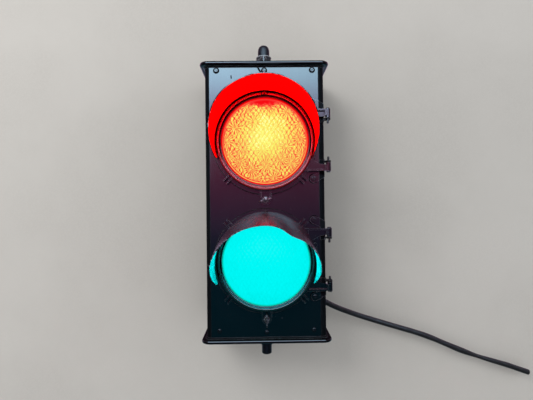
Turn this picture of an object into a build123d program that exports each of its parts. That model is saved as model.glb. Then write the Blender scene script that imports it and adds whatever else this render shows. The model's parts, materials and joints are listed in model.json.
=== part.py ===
from build123d import *
import math
import os

# Two-aspect road traffic signal head, 200 mm lenses, doors hinged on the right.
# Frame: front faces -Y, +X to the right seen from the front, +Z up. Millimetres.
# Origin: on the vertical mounting axis, level with the underside of the bottom cap.

os.makedirs("parts", exist_ok=True)

FORWARD, REAR = (0, -1, 0), (0, 1, 0)
UP, DOWN, RIGHT = (0, 0, 1), (0, 0, -1), (1, 0, 0)

# ---------------------------------------------------------------- driving sizes
HEIGHT = 655.0                  # over both caps
BODY_W, BODY_D = 280.0, 150.0
BODY_R = 13.0                   # upright edges of the housing
WALL = 3.0
FRONT = -BODY_D / 2             # front face of the panel
CAP_W, CAP_D, CAP_R = 304.0, 174.0, 21.0
CAP_RIM = 9.0                   # thickness of the overhanging rim
CAP_SEAT = 11.5                 # cap outer face to gasket
GASKET_T = 1.5
BODY_BOTTOM = CAP_SEAT + GASKET_T
BODY_TOP = HEIGHT - CAP_SEAT - GASKET_T
LENS_Z = {"upper": 465.0, "lower": 190.0}
DIAGONALS = (45, 135, 225, 315)

# (x, z) of the cap screws, the same on the front and back faces
TOP_CAP_SCREWS = [(-112.4, 635.5), (0.0, 635.0), (112.4, 635.5)]
BOTTOM_CAP_SCREWS = [(-110.0, 27.5), (0.0, 23.5), (110.0, 27.5)]

# door ring
APERTURE_R = 113.0              # opening in the panel behind each door
FLANGE_R = 122.0
COLLAR_R = 112.5                # the visor sits on the collar
BORE_R = 105.5                  # lens seat bore in the collar
LIP_R = 100.5                   # front lip round the visible lens
FLANGE_BACK, FLANGE_FACE = FRONT - 2.5, FRONT - 8.0
BOSS_R = 107.2                  # centres of the cast bosses for the visor screws

# hinge
HINGE_X, HINGE_Y = 146.0, -88.0
KNUCKLE_R, KNUCKLE_H = 5.8, 20.0
PIN_R = 2.5
# (arm centre from the lens centre, screw beyond the arm, side of the lens centre)
HINGE_ARMS = ((65.0, 28.0, 1), (-59.0, 26.0, -1))
HINGE_SCREW_X = 113.0
HINGE_SCREWS = [(HINGE_SCREW_X, cz + arm + side * beyond)
                for cz in LENS_Z.values() for arm, beyond, side in HINGE_ARMS]

# latch
LATCH_DROP = 133.5              # wing screw below the lens centre
LATCH_SHANK_R = 3.0
BUSH_R = 7.0
WING_ANGLE = {"upper": 15.0, "lower": 90.0}

# lens and its clips
LENS_R = 104.0
LENS_FRONT = -98.0              # front of the lens rim
DOME_R = 99.2                   # outer edge of the dome
DOME_INNER_R = 95.5
DOME_RISE, DOME_T = 13.5, 3.6
CLIP_SCREW_R = 109.0
CLIP_BACK = -75.9

# visor
VISOR_RI, VISOR_T = 112.8, 1.5
VISOR_L = 185.0                 # lens rim to the front edge of the visor
VISOR_ROOT = -84.5
VISOR_BEND = -102.2             # the tube starts to droop and taper here
VISOR_BLANK_L = 210.0           # drooping tube before its front edge is cut
VISOR_DROOP = 0.0917            # fall per mm of length
VISOR_TAPER = 0.035             # radius lost per mm of length
VISOR_SCREW_ANGLES = (0.0, 106.5, -106.5)
VISOR_SCREW_Y = -93.0

# reflector
BOWL_R, BOWL_HOLE_R = 104.0, 22.0
BOWL_FOCAL = 111.6              # depth = radius squared / this
BOWL_T = 1.2
BOWL_RIM_R = 119.5
BOWL_FRONT = FRONT + WALL + 1.0
BOWL_APEX = BOWL_FRONT + BOWL_R ** 2 / BOWL_FOCAL
STUD_OFFSET = 126.0 / math.sqrt(2)
STUDS = [(sx * STUD_OFFSET, sz * STUD_OFFSET) for sx in (-1, 1) for sz in (-1, 1)]

# mounting spigots
SPIGOT_R, SPIGOT_BORE_R = 13.2, 9.6
LOWER_SPIGOT_R, NOSE_R = 14.3, 12.2
SPIGOT_FLANGE_R, SPIGOT_FLANGE_T = 24.0, 5.0
WASHER_R, WASHER_T = 25.0, 3.0
SPIGOT_BASE = HEIGHT - CAP_SEAT - SPIGOT_FLANGE_T
SPIGOT_L = 52.5
SPIGOT_TOP = SPIGOT_BASE + SPIGOT_L

# mounting plate and wiring
PLATE_Y, PLATE_T = 64.5, 2.0
PLATE_FIXINGS = [(-82, 110), (82, 110), (-82, 545), (82, 545)]
TERMINAL_PITCH = 16
TERMINAL_X = [-40 + TERMINAL_PITCH * i for i in range(6)]
TERMINAL_Y, TERMINAL_Z = 56, 327.5
WIRE_R = 1.5
CABLE_R = 7.0
CABLE_Y, CABLE_Z = 35.0, 69.0


# ---------------------------------------------------------------- helpers
def block(x0, x1, y0, y1, z0, z1):
    centre = Pos((x0 + x1) / 2, (y0 + y1) / 2, (z0 + z1) / 2)
    return centre * Box(x1 - x0, y1 - y0, z1 - z0)


def upright(radius, height):
    """Cylinder standing on the local origin."""
    return Cylinder(radius, height, align=(Align.CENTER, Align.CENTER, Align.MIN))


def rod(radius, start, direction, length):
    return Plane(origin=start, z_dir=direction) * upright(radius, length)


def tube(outer_r, inner_r, start, direction, length):
    bore_start = [a - 0.5 * b for a, b in zip(start, direction)]
    return (rod(outer_r, start, direction, length)
            - rod(inner_r, bore_start, direction, length + 1))


def hexagon(flats, start, direction, height, turn=0.0):
    """Hexagonal nut blank with turned corners."""
    body = extrude(RegularPolygon(flats / 2, 6, major_radius=False, rotation=turn), height)
    limit = upright(flats * 0.562, height)
    limit = chamfer(limit.edges().filter_by(GeomType.CIRCLE), flats * 0.035)
    return Plane(origin=start, z_dir=direction) * (body & limit)


def revolved(edges, cz, arc=360.0):
    """Closed edges in (radius, y), revolved about the lens axis."""
    return Pos(0, 0, cz) * revolve(make_face(edges), Axis.Y, arc)


def turned(points, cz, arc=360.0):
    return revolved(Polyline(*points, close=True), cz, arc)


def prism(points, y0, y1):
    """(x, z) outline, extruded between two y planes."""
    face = Plane.XZ * make_face(Polyline(*points, close=True))
    return Pos(0, y1, 0) * extrude(face, amount=y1 - y0)


def sided(points, z, side):
    """(x, z) outline placed at z, flipped upside down where side is -1."""
    return [(x, z + side * dz) for x, dz in points]


def slab(width, depth, radius, z0, z1):
    return Pos(0, 0, z0) * extrude(RectangleRounded(width, depth, radius), z1 - z0)


def around(radius, y, angle, cz=0.0):
    """Point about a lens axis, angle in degrees from +Z towards +X."""
    t = math.radians(angle)
    return (radius * math.sin(t), y, cz + radius * math.cos(t))


def screw(seat, direction, shank_r, length, head_r, head_h, slot=1.2, turn=0.0):
    """Slotted pan-head screw, head outwards along direction from the seat."""
    head = upright(head_r, head_h)
    head = fillet(head.edges().group_by(Axis.Z)[-1], head_h * 0.55)
    cut = Pos(0, 0, head_h - head_h * 0.22) * Box(2.4 * head_r, slot, head_h * 0.45)
    head -= Rot(0, 0, turn) * cut
    shank = Pos(0, 0, -length) * upright(shank_r, length)
    shank = chamfer(shank.edges().group_by(Axis.Z)[0], shank_r * 0.35)
    return Plane(origin=seat, z_dir=direction) * (head + shank)


def bent_wire(points, bend_r):
    path = FilletPolyline(*points, radius=bend_r)
    return sweep(Plane(origin=path @ 0, z_dir=path % 0) * Circle(WIRE_R), path)


def group(items):
    return Compound(children=[solid for item in items for solid in item.solids()])


def save(shape, name):
    solids = shape.solids()
    export_step(solids[0] if len(solids) == 1 else shape, "parts/" + name + ".step")


# ---------------------------------------------------------------- housing
def housing_shell():
    shell = slab(BODY_W, BODY_D, BODY_R, BODY_BOTTOM, BODY_TOP)
    shell -= slab(BODY_W - 2 * WALL, BODY_D - 2 * WALL, BODY_R - WALL,
                  BODY_BOTTOM - 1, BODY_TOP + 1)
    through = WALL + 2
    for cz in LENS_Z.values():
        shell -= rod(APERTURE_R, (0, FRONT - 1, cz), REAR, through)
        shell -= rod(BUSH_R + 0.02, (0, FRONT - 1, cz - LATCH_DROP), REAR, through)
    for x, z in TOP_CAP_SCREWS + BOTTOM_CAP_SCREWS:
        shell -= rod(2.7, (x, FRONT - 1, z), REAR, through)
        shell -= rod(2.7, (x, -FRONT - WALL - 1, z), REAR, through)
    for x, z in HINGE_SCREWS:
        shell -= rod(2.05, (x, FRONT - 1, z), REAR, 14)
    # cable hole in the right wall
    shell -= rod(11.0, (BODY_W / 2 - WALL - 1, CABLE_Y, CABLE_Z), RIGHT, through)
    return shell


save(housing_shell(), "housing_shell")


# ---------------------------------------------------------------- caps, gaskets, screws
def cap(outer_z, inward, hole_r, screws):
    """inward = +1: outer face down (bottom cap); -1: outer face up (top cap)."""
    def layer(width, depth, radius, start, end):
        z0, z1 = sorted((outer_z + inward * start, outer_z + inward * end))
        return slab(width, depth, radius, z0, z1)

    rim = layer(CAP_W, CAP_D, CAP_R, 0, CAP_RIM)
    levels = rim.edges().group_by(Axis.Z)
    rim = fillet(levels[0] + levels[-1], 4.2)
    seat = layer(288.0, 158.0, 17.0, CAP_RIM - 1, CAP_SEAT)
    seat = chamfer(seat.edges().group_by(Axis.Z)[-1 if inward > 0 else 0], 1.6)
    skirt = layer(273.2, 143.2, 9.6, CAP_SEAT, 33.0)
    skirt = skirt - layer(266.6, 136.6, 6.5, CAP_SEAT - 2, 34.0)
    body = rim + seat + skirt
    # cast hollow from inside, with a full-depth pad round the spigot hole
    pocket = layer(250.0, 120.0, 10.0, 6.0, CAP_SEAT + 1)
    pad = layer(58.0, 58.0, 28.9, 5.0, CAP_SEAT + 2)
    body -= pocket - pad
    body -= rod(hole_r, (0, 0, outer_z - inward), (0, 0, inward), 20)
    # screw holes in the skirt, front and back
    for x, z in screws:
        body -= rod(2.55, (x, FRONT + 1, z), REAR, 12)
        body -= rod(2.55, (x, -FRONT - 13, z), REAR, 12)
    return body


def cap_gasket(z0):
    outer = slab(BODY_W, BODY_D, BODY_R, z0, z0 + GASKET_T)
    return outer - slab(273.6, 143.6, 9.8, z0 - 1, z0 + GASKET_T + 1)


def cap_screws(places):
    size = dict(shank_r=2.5, length=9.0, head_r=5.0, head_h=2.8)
    screws = []
    for k, (x, z) in enumerate(places, 1):
        screws.append(screw((x, FRONT, z), FORWARD, turn=37.0 * k, **size))
        screws.append(screw((x, -FRONT, z), REAR, turn=61.0 * k, **size))
    return group(screws)


save(cap(HEIGHT, -1, SPIGOT_R + 0.1, TOP_CAP_SCREWS), "top_cap")
save(cap(0.0, 1, LOWER_SPIGOT_R + 0.1, BOTTOM_CAP_SCREWS), "bottom_cap")
save(cap_gasket(BODY_TOP), "top_cap_gasket")
save(cap_gasket(CAP_SEAT), "bottom_cap_gasket")
save(cap_screws(TOP_CAP_SCREWS), "top_cap_screws")
save(cap_screws(BOTTOM_CAP_SCREWS), "bottom_cap_screws")

# ---------------------------------------------------------------- top fitting
# (radius, z above the spigot top), half outline of the plug
PLUG_OUTLINE = [
    (0, -11), (9.0, -11), (9.5, -10), (9.5, 0), (19.0, 0), (19.2, 1.0), (18.6, 2.6),
    (14.9, 3.4), (14.6, 4.5), (14.5, 17.5), (14.0, 22.0), (12.9, 25.6), (11.0, 28.8),
    (8.2, 31.2), (4.6, 32.6), (0, 33.1),
]


def top_spigot():
    base = (0, 0, SPIGOT_BASE)
    spigot = tube(SPIGOT_R, SPIGOT_BORE_R, base, UP, SPIGOT_L)
    spigot += tube(SPIGOT_FLANGE_R, SPIGOT_BORE_R, base, UP, SPIGOT_FLANGE_T)
    for i in range(13):         # thread shown as shallow rings
        groove = (0, 0, HEIGHT + 4.5 + 2.3 * i)
        spigot -= tube(SPIGOT_R + 1, SPIGOT_R - 0.55, groove, UP, 0.8)
    return spigot


def top_nut(z, height, turn, bore_z):
    blank = hexagon(36.0, (0, 0, z), UP, height, turn)
    return blank - rod(SPIGOT_R + 0.04, (0, 0, bore_z), UP, 30)


def top_plug():
    points = [(r, SPIGOT_TOP + dz) for r, dz in PLUG_OUTLINE]
    return revolve(Plane.XZ * make_face(Polyline(*points, close=True)), Axis.Z, 360)


save(top_spigot(), "top_spigot")
save(tube(WASHER_R, SPIGOT_R + 0.25, (0, 0, HEIGHT), UP, WASHER_T), "top_spigot_washer")
save(top_nut(HEIGHT + WASHER_T, 13.0, 8.0, HEIGHT), "top_lock_nut")
save(top_nut(HEIGHT + 23.4, 12.6, 30.0, HEIGHT + 20), "top_clamp_nut")
save(top_plug(), "top_plug")


# ---------------------------------------------------------------- bottom fitting
def bottom_spigot():
    spigot = rod(LOWER_SPIGOT_R, (0, 0, CAP_SEAT), DOWN, CAP_SEAT + 30.5)
    spigot = chamfer(spigot.edges().group_by(Axis.Z)[0], 1.2)
    spigot += rod(SPIGOT_FLANGE_R, (0, 0, CAP_SEAT + SPIGOT_FLANGE_T), DOWN, SPIGOT_FLANGE_T)
    nose = rod(NOSE_R, (0, 0, -28), DOWN, 24.5)
    nose = fillet(nose.edges().group_by(Axis.Z)[0], 3.0)
    return spigot + nose - rod(8.5, (0, 0, CAP_SEAT + 8), DOWN, 80)


def bottom_lock_nut():
    blank = hexagon(38.0, (0, 0, -WASHER_T), DOWN, 13.0, turn=4.0)
    return blank - rod(LOWER_SPIGOT_R + 0.04, (0, 0, 1), DOWN, 30)


save(bottom_spigot(), "bottom_spigot")
save(tube(WASHER_R, LOWER_SPIGOT_R + 0.25, (0, 0, 0), DOWN, WASHER_T), "bottom_spigot_washer")
save(bottom_lock_nut(), "bottom_lock_nut")

# ---------------------------------------------------------------- hinges
BRACKET_T = 3.0
STRAP_X0, STRAP_X1 = 126.5, 138.5
WEB_X = 136.5                   # inner side of the ear and its web


def hinge_bracket(arm_z, beyond, side):
    screw_z = arm_z + side * beyond
    seat_y = FRONT - BRACKET_T
    # round lug under the screw, strap running out to the ear
    bracket = rod(9.5, (HINGE_SCREW_X, seat_y, screw_z), REAR, BRACKET_T)
    link = [(HINGE_SCREW_X, beyond + 9.5), (124, beyond + 5.5), (STRAP_X1, beyond - 3.0),
            (STRAP_X1, 12), (STRAP_X0, 12), (HINGE_SCREW_X, beyond - 9.5)]
    bracket += prism(sided(link, arm_z, side), seat_y, FRONT)
    strap = [(STRAP_X0, -18), (STRAP_X1, -18), (STRAP_X1, 16), (STRAP_X0, 16)]
    bracket += prism(sided(strap, arm_z, side), seat_y, FRONT)
    bracket = bracket.solids()[0]
    # ear beside the door knuckle, on the side towards the lens centre
    z0, z1 = sorted((arm_z - side * 10.6, arm_z - side * 14.6))
    ear = block(WEB_X, HINGE_X + KNUCKLE_R, HINGE_Y, FRONT, z0, z1)
    ear = ear - block(138.6, 160, FRONT - 0.01, FRONT + 5, z0 - 1, z1 + 1)
    ear += rod(KNUCKLE_R, (HINGE_X, HINGE_Y, z0), UP, z1 - z0)
    web = [(WEB_X, -18), (STRAP_X1, -18), (STRAP_X1, -11), (WEB_X, -11)]
    bracket = bracket + ear + prism(sided(web, arm_z, side), FRONT - 8, FRONT - 2)
    bracket -= rod(PIN_R + 0.02, (HINGE_X, HINGE_Y, z0 - 1), UP, 6)
    bracket -= rod(2.1, (HINGE_SCREW_X, FRONT - 8, screw_z), REAR, 12)
    return bracket


def hinge_pin(arm_z, side):
    """Head on the free side of the knuckle, tail past the ear."""
    tail_level, head_level = (0, -1) if side > 0 else (-1, 0)
    start = (HINGE_X, HINGE_Y, arm_z + side * 10.4)
    shank = rod(PIN_R, start, (0, 0, -side), 34.0)
    shank = chamfer(shank.edges().group_by(Axis.Z)[tail_level], 0.8)
    head = rod(4.6, start, (0, 0, side), 2.2)
    head = fillet(head.edges().group_by(Axis.Z)[head_level], 1.2)
    return shank + head


save(group([hinge_bracket(cz + arm, beyond, side)
            for cz in LENS_Z.values() for arm, beyond, side in HINGE_ARMS]), "hinge_brackets")
save(group([hinge_pin(cz + arm, side)
            for cz in LENS_Z.values() for arm, _, side in HINGE_ARMS]), "hinge_pins")
save(group([screw((x, FRONT - BRACKET_T, z), FORWARD, shank_r=2.0, length=9.0,
                  head_r=5.6, head_h=2.6, slot=1.1, turn=23.0 * i)
            for i, (x, z) in enumerate(HINGE_SCREWS)]), "hinge_screws")


# ---------------------------------------------------------------- fixings on the panel
def latch_bush(z):
    bore_r = 4.4
    return (tube(BUSH_R, bore_r, (0, FRONT, z), REAR, 9.0)
            + tube(9.6, bore_r, (0, FRONT + WALL, z), REAR, 2.0))


save(group([latch_bush(cz - LATCH_DROP) for cz in LENS_Z.values()]), "latch_bushes")

reflector_studs, reflector_nuts = [], []
for cz in LENS_Z.values():
    for x, dz in STUDS:
        y, z = FRONT + WALL, cz + dz
        reflector_studs.append(rod(2.0, (x, y, z), REAR, 11.0) + rod(4.0, (x, y, z), REAR, 1.0))
        reflector_nuts.append(hexagon(7.0, (x, y + 2.2, z), REAR, 3.2)
                              - rod(2.03, (x, y, z), REAR, 12))
save(group(reflector_studs), "reflector_studs")
save(group(reflector_nuts), "reflector_nuts")

# ---------------------------------------------------------------- door
# (x, z from the arm centre), z positive away from the lens centre
ARM_OUTLINE = [(HINGE_X, 9), (84, 10), (92, -22), (104, -20), (126, -7.5), (HINGE_X, -5)]
ARM_POCKET = [(HINGE_X - 7.5, 5.6), (97, 5.6), (97, -30), (HINGE_X - 7.5, -30)]
# (x, z from the lens centre)
LATCH_LUG = [
    (-11, -116), (11, -116), (11, -LATCH_DROP - 3), (7, -LATCH_DROP - 10),
    (-7, -LATCH_DROP - 10), (-11, -LATCH_DROP - 3),
]
PIP_X, PIP_DZ = 114, 35         # round pip below the upper arm


def door_ring_body(cz):
    """Flange, collar, rounded front bead, shallow groove and rolled inner lip."""
    bead_start, bead_top, bead_end = (COLLAR_R, -98.6), (108.6, -102.4), (104.9, -100.4)
    lip_start, lip_end = (103.9, -100.3), (LIP_R, -100.3)
    return revolved([
        Polyline((BORE_R, FLANGE_BACK), (FLANGE_R, FLANGE_BACK), (FLANGE_R, -81.4),
                 (FLANGE_R - 1.6, FLANGE_FACE), (COLLAR_R, FLANGE_FACE), bead_start),
        ThreePointArc(bead_start, (COLLAR_R - 1.2, -101.4), bead_top),
        ThreePointArc(bead_top, (106.1, -101.9), bead_end),
        Polyline(bead_end, lip_start),
        ThreePointArc(lip_start, (102.2, -101.6), lip_end),
        Polyline(lip_end, (LIP_R, -99), (BORE_R, -99), (BORE_R, FLANGE_BACK)),
    ], cz)


def hinge_arm(cz, offset, side):
    z = cz + offset
    arm = prism(sided(ARM_OUTLINE, z, side), -95, -81)
    # web set back behind the outer rim
    arm -= prism(sided(ARM_POCKET, z, side), -96, -87.5)
    arm += rod(KNUCKLE_R, (HINGE_X, HINGE_Y, z - KNUCKLE_H / 2), UP, KNUCKLE_H)
    arm -= rod(109.5, (0, -110, cz), REAR, 40)
    arm -= block(HINGE_X - 4, HINGE_X + 20, -100, HINGE_Y - KNUCKLE_R, z - 12, z + 12)
    return arm


def door_ring(cz):
    latch_z = cz - LATCH_DROP
    ring = door_ring_body(cz)
    upper_arm, lower_arm = [hinge_arm(cz, arm, side) for arm, _, side in HINGE_ARMS]
    added = upper_arm + lower_arm
    # fork lugs for swing bolts, two ribs on each diagonal
    for angle in DIAGONALS:
        for offset in (-5.0, 5.0):
            rib = block(112.0, 131.5, -91.5, -78.0, offset - 1.6, offset + 1.6)
            added += Pos(0, 0, cz) * (Rot(0, angle, 0) * rib)
    # latch lug with its boss and side ribs
    lug = prism(sided(LATCH_LUG, cz, 1), -83.5, FLANGE_BACK)
    lug += rod(8.0, (0, FLANGE_BACK, latch_z), FORWARD, 8.5)
    for x in (-11, 11):
        lug += block(x - 1.5, x + 1.5, -89.0, FLANGE_BACK, cz - 128, cz - 112)
    added += lug
    added += rod(5.5, (PIP_X, FLANGE_BACK, cz + PIP_DZ), FORWARD, 7.5)
    # screw bosses along the collar
    for angle in VISOR_SCREW_ANGLES:
        added += rod(4.4, around(BOSS_R, FLANGE_FACE, angle, cz), FORWARD, 22.5)
    ring = ring + added
    # lens bore, hinge pin and latch holes
    ring -= rod(BORE_R, (0, -99, cz), REAR, 30)
    ring -= rod(PIN_R + 0.05, (HINGE_X, HINGE_Y, cz - 100), UP, 200)
    ring -= rod(LATCH_SHANK_R + 0.06, (0, -90, latch_z), REAR, 20)
    # radial visor screw holes and a small blind hole in each boss front
    for angle in VISOR_SCREW_ANGLES:
        ring -= rod(2.03, around(106.8, VISOR_SCREW_Y, angle, cz), around(1, 0, angle), 20)
        ring -= rod(1.6, around(BOSS_R, -106.0, angle, cz), REAR, 3.0)
    # clip screw holes
    for angle in DIAGONALS:
        ring -= rod(1.55, around(CLIP_SCREW_R, -84.0, angle, cz), REAR, 10)
    return ring


def door_seal(cz):
    return turned([(115, FLANGE_BACK), (115, -76), (116, FRONT), (119.5, FRONT),
                   (120.5, -76), (120.5, FLANGE_BACK)], cz)


def wing_screw(cz, angle):
    """Captive screw; its wings are turned about the screw axis by angle."""
    head_y = -88.0
    shank = rod(LATCH_SHANK_R, (0, head_y, 0), REAR, 20.0)
    shank = chamfer(shank.edges().group_by(Axis.Y)[-1], 1.2)
    hub = rod(5.6, (0, head_y, 0), FORWARD, 9.0) + rod(4.4, (0, -97.0, 0), FORWARD, 2.6)
    hub = fillet(hub.edges().group_by(Axis.Y)[0], 2.2)

    def wing(side):
        blade = prism([(side * 3, -1.5), (side * 15.5, -1.2), (side * 15.5, 1.2),
                       (side * 3, 1.5)], -101.5, -91.0)
        edges = blade.edges().filter_by(Axis.Z).sort_by(Axis.X)
        return fillet(edges[-2:] if side > 0 else edges[:2], 4.4)

    wings = wing(-1) + wing(1)
    return Pos(0, 0, cz - LATCH_DROP) * (Rot(0, -angle, 0) * (shank + hub + wings))


def latch_washer(cz):
    return tube(6.2, LATCH_SHANK_R + 0.06, (0, -86.3, cz - LATCH_DROP), FORWARD, 1.1)


# ---------------------------------------------------------------- lens
def dome_arc(edge_r, edge_y, top_y):
    """Circular arc from the axis at top_y back to the dome's edge."""
    rise = edge_y - top_y
    radius = (edge_r * edge_r + rise * rise) / (2 * rise)
    mid_y = top_y + radius - math.sqrt(radius ** 2 - (edge_r * 0.5) ** 2)
    return ThreePointArc((0, top_y), (edge_r * 0.5, mid_y), (edge_r, edge_y))


def lens(cz):
    """Domed lens with a flat rim."""
    outer_top = LENS_FRONT - DOME_RISE
    inner_top = outer_top + DOME_T
    inner_edge = -94.0
    rim = Polyline((DOME_R, LENS_FRONT), (DOME_R, -97.5), (LENS_R, -97.5), (LENS_R, -93.5),
                   (DOME_INNER_R, -93.5), (DOME_INNER_R, inner_edge))
    return revolved([
        dome_arc(DOME_R, LENS_FRONT, outer_top),
        rim,
        dome_arc(DOME_INNER_R, inner_edge, inner_top),
        Line((0, inner_top), (0, outer_top)),
    ], cz)


def lens_gasket(cz):
    """U-section rubber bead round the lens rim."""
    return turned([(99.6, -98.95), (105.4, -98.95), (105.4, -92), (99.6, -92),
                   (99.6, -93.45), (104.05, -93.45), (104.05, -97.55), (99.6, -97.55)], cz)


def lens_clips(cz):
    """Four stepped clips pressing the bead forward, each on one screw."""
    section = [(98.5, -91.9), (105.2, -91.9), (105.2, -77.4), (112.3, -77.4),
               (112.3, CLIP_BACK), (103.4, CLIP_BACK), (103.4, -90.4), (98.5, -90.4)]
    blank = turned(section, 0, arc=8.0)
    centre = blank.center()
    blank_angle = math.degrees(math.atan2(centre.X, centre.Z))
    clips = []
    for angle in DIAGONALS:
        clip = Pos(0, 0, cz) * (Rot(0, angle - blank_angle, 0) * blank)
        clips.append(clip - rod(1.7, around(CLIP_SCREW_R, -85, angle, cz), REAR, 15))
    return group(clips)


def lens_clip_screws(cz):
    return group([screw(around(CLIP_SCREW_R, CLIP_BACK, angle, cz), REAR, shank_r=1.5,
                        length=7.5, head_r=2.9, head_h=2.0, slot=0.8, turn=angle / 3.0)
                  for angle in DIAGONALS])


# ---------------------------------------------------------------- visor
VISOR_FRONT = LENS_FRONT - VISOR_L
# (y from VISOR_FRONT, z from the lens centre), swept-back front edge, top to bottom
VISOR_EDGE = [
    (-0.7, 84.0), (-1.9, 70.0), (-0.4, 55.0), (7.2, 38.0), (24.0, 18.5),
    (51.0, -1.2), (88.0, -20.9), (118.0, -33.6), (133.0, -39.4),
]


def visor_tube(radius, cz):
    """Straight root, then a sheared and tapering tube."""
    def circle(r, y, z):
        return Pos(0, y, z) * (Plane.XZ * Circle(r))

    root = circle(radius, VISOR_ROOT, cz)
    bend = circle(radius, VISOR_BEND, cz)
    end = circle(radius - VISOR_BLANK_L * VISOR_TAPER, VISOR_BEND - VISOR_BLANK_L,
                 cz - VISOR_BLANK_L * VISOR_DROOP)
    return loft([root, bend], ruled=True) + loft([bend, end], ruled=True)


def visor(cz):
    sheet = visor_tube(VISOR_RI + VISOR_T, cz) - visor_tube(VISOR_RI, cz)
    # keep what lies inside the side-view outline
    edge = [(VISOR_FRONT + dy, cz + dz) for dy, dz in VISOR_EDGE]
    back = VISOR_ROOT + 1
    outline = [
        Spline(*edge),
        Polyline(edge[-1], (VISOR_FRONT + 138.5, cz - 41.6), (VISOR_FRONT + 143.5, cz - 42.2),
                 (LENS_FRONT, cz - 36.5), (back, cz - 35.0), (back, cz + 130),
                 (edge[0][0], cz + 130), edge[0]),
    ]
    sheet = sheet & (Pos(-150, 0, 0) * extrude(Plane.YZ * make_face(outline), 300))
    # reliefs in the root edge: upper hinge arm, upper swing-bolt ribs and the pip
    arm_z = cz + HINGE_ARMS[0][0]
    sheet -= block(80, 126, -96.2, -80, arm_z - 23.5, arm_z + 11.5)
    for angle in (225, 315):
        sheet -= Pos(0, 0, cz) * (Rot(0, angle, 0) * block(108, 135, -92.7, -80, -8.2, 8.2))
    sheet -= rod(6.6, (PIP_X, -86.2, cz + PIP_DZ), REAR, 8)
    for angle in VISOR_SCREW_ANGLES:
        sheet -= rod(2.3, around(108, VISOR_SCREW_Y, angle, cz), around(1, 0, angle), 12)
    return sheet


def visor_screws(cz):
    seat_r = VISOR_RI + VISOR_T + 0.05
    return group([screw(around(seat_r, VISOR_SCREW_Y, angle, cz), around(1, 0, angle),
                        shank_r=2.0, length=6.4, head_r=4.5, head_h=2.6, slot=1.0,
                        turn=20.0 + angle)
                  for angle in VISOR_SCREW_ANGLES])


# ---------------------------------------------------------------- reflector
def reflector(cz):
    """Parabolic bowl with a flat rim and four fixing ears."""
    inner, outer = [], []
    for i in range(11):
        r = BOWL_HOLE_R + (BOWL_R - BOWL_HOLE_R) * i / 10.0
        y = BOWL_APEX - r * r / BOWL_FOCAL
        slope = 2 * r / BOWL_FOCAL
        normal = math.hypot(1.0, slope)
        inner.append((r, y))
        outer.append((r + slope / normal * BOWL_T, y + BOWL_T / normal))
    rim_back = BOWL_FRONT + BOWL_T
    # the outer skin stops where it meets the back of the rim
    outer = [point for point in outer if point[1] > rim_back + 0.4]
    skin_end = (math.sqrt((BOWL_APEX + 1.6 - rim_back) * BOWL_FOCAL) + 0.6, rim_back)
    bowl = revolved([
        Spline(*inner),
        Polyline(inner[-1], (BOWL_RIM_R, inner[-1][1]), (BOWL_RIM_R, rim_back), skin_end),
        Spline(*(outer + [skin_end])),
        Line(outer[0], inner[0]),
    ], cz)
    for x, dz in STUDS:
        bowl += rod(9.0, (x, BOWL_FRONT, cz + dz), REAR, BOWL_T)
    for x, dz in STUDS:
        bowl -= rod(2.2, (x, FRONT, cz + dz), REAR, 12)
    return bowl


# ---------------------------------------------------------------- lamp
# (radius, y), outer and inner outlines of the bulb, back to front
GLASS_OUTER = [
    (12.6, 25.0), (12.8, 20.0), (15.5, 13.0), (22.5, 6.0), (28.0, -2.0),
    (29.6, -9.0), (27.8, -18.0), (22.5, -26.0), (13.0, -32.0), (0.0, -34.2),
]
GLASS_INNER = [
    (11.7, 25.0), (11.9, 20.0), (14.6, 12.7), (21.7, 5.4), (27.1, -2.2),
    (28.7, -9.0), (26.9, -17.7), (21.9, -25.3), (12.6, -31.1), (0.0, -33.3),
]


def lamp_holder(cz):
    """Porcelain screw holder."""
    holder = rod(20.8, (0, 22.5, cz), REAR, 42.0) + rod(27.0, (0, 48.0, cz), REAR, 16.5)
    holder = fillet(holder.edges().filter_by(GeomType.CIRCLE).group_by(Axis.Y)[0], 1.5)
    return holder - rod(13.75, (0, 20, cz), REAR, 33.0)


def lamp_glass(cz):
    ends = ((0, -1), (-1, 0))
    return revolved([
        Spline(*GLASS_OUTER, tangents=ends),
        Line(GLASS_OUTER[-1], GLASS_INNER[-1]),
        Spline(*GLASS_INNER, tangents=ends),
        Line(GLASS_INNER[0], GLASS_OUTER[0]),
    ], cz)


def lamp_cap(cz):
    points = [(0, 25.05), (13.2, 25.05)]
    for i in range(5):          # rolled thread
        y = 27.0 + 3.5 * i
        points += [(13.3, y), (12.5, y + 1.75)]
    points += [(13.2, 45.5), (10.5, 48.5), (5.0, 49.5), (5.0, 51.5), (3.5, 52.3), (0, 52.3)]
    return turned(points, cz)


def lamp_filament(cz):
    """Glass stem, two support wires and the filament across them."""
    filament = turned([(0, 25.0), (8.0, 25.0), (5.0, 20.0), (3.2, 14.0), (2.6, 8.0),
                       (0, 7.4)], cz)
    for side in (-1, 1):
        lean = Vector(side * 8.4, -11.5, 0).normalized()
        filament += Pos(0, 0, cz) * rod(0.45, (side * 1.6, 8.6, 0), lean, 14.24)
    filament += Pos(0, 0, cz) * rod(0.55, (-10.4, -2.6, 0), RIGHT, 20.8)
    return filament


ASPECT_PIECES = (door_ring, door_seal, lens, lens_gasket, lens_clips, lens_clip_screws, visor,
                 visor_screws, latch_washer, reflector, lamp_holder, lamp_glass, lamp_cap,
                 lamp_filament)
for name, cz in LENS_Z.items():
    for piece in ASPECT_PIECES:
        save(piece(cz), name + "_" + piece.__name__)
    save(wing_screw(cz, WING_ANGLE[name]), name + "_wing_screw")


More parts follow.
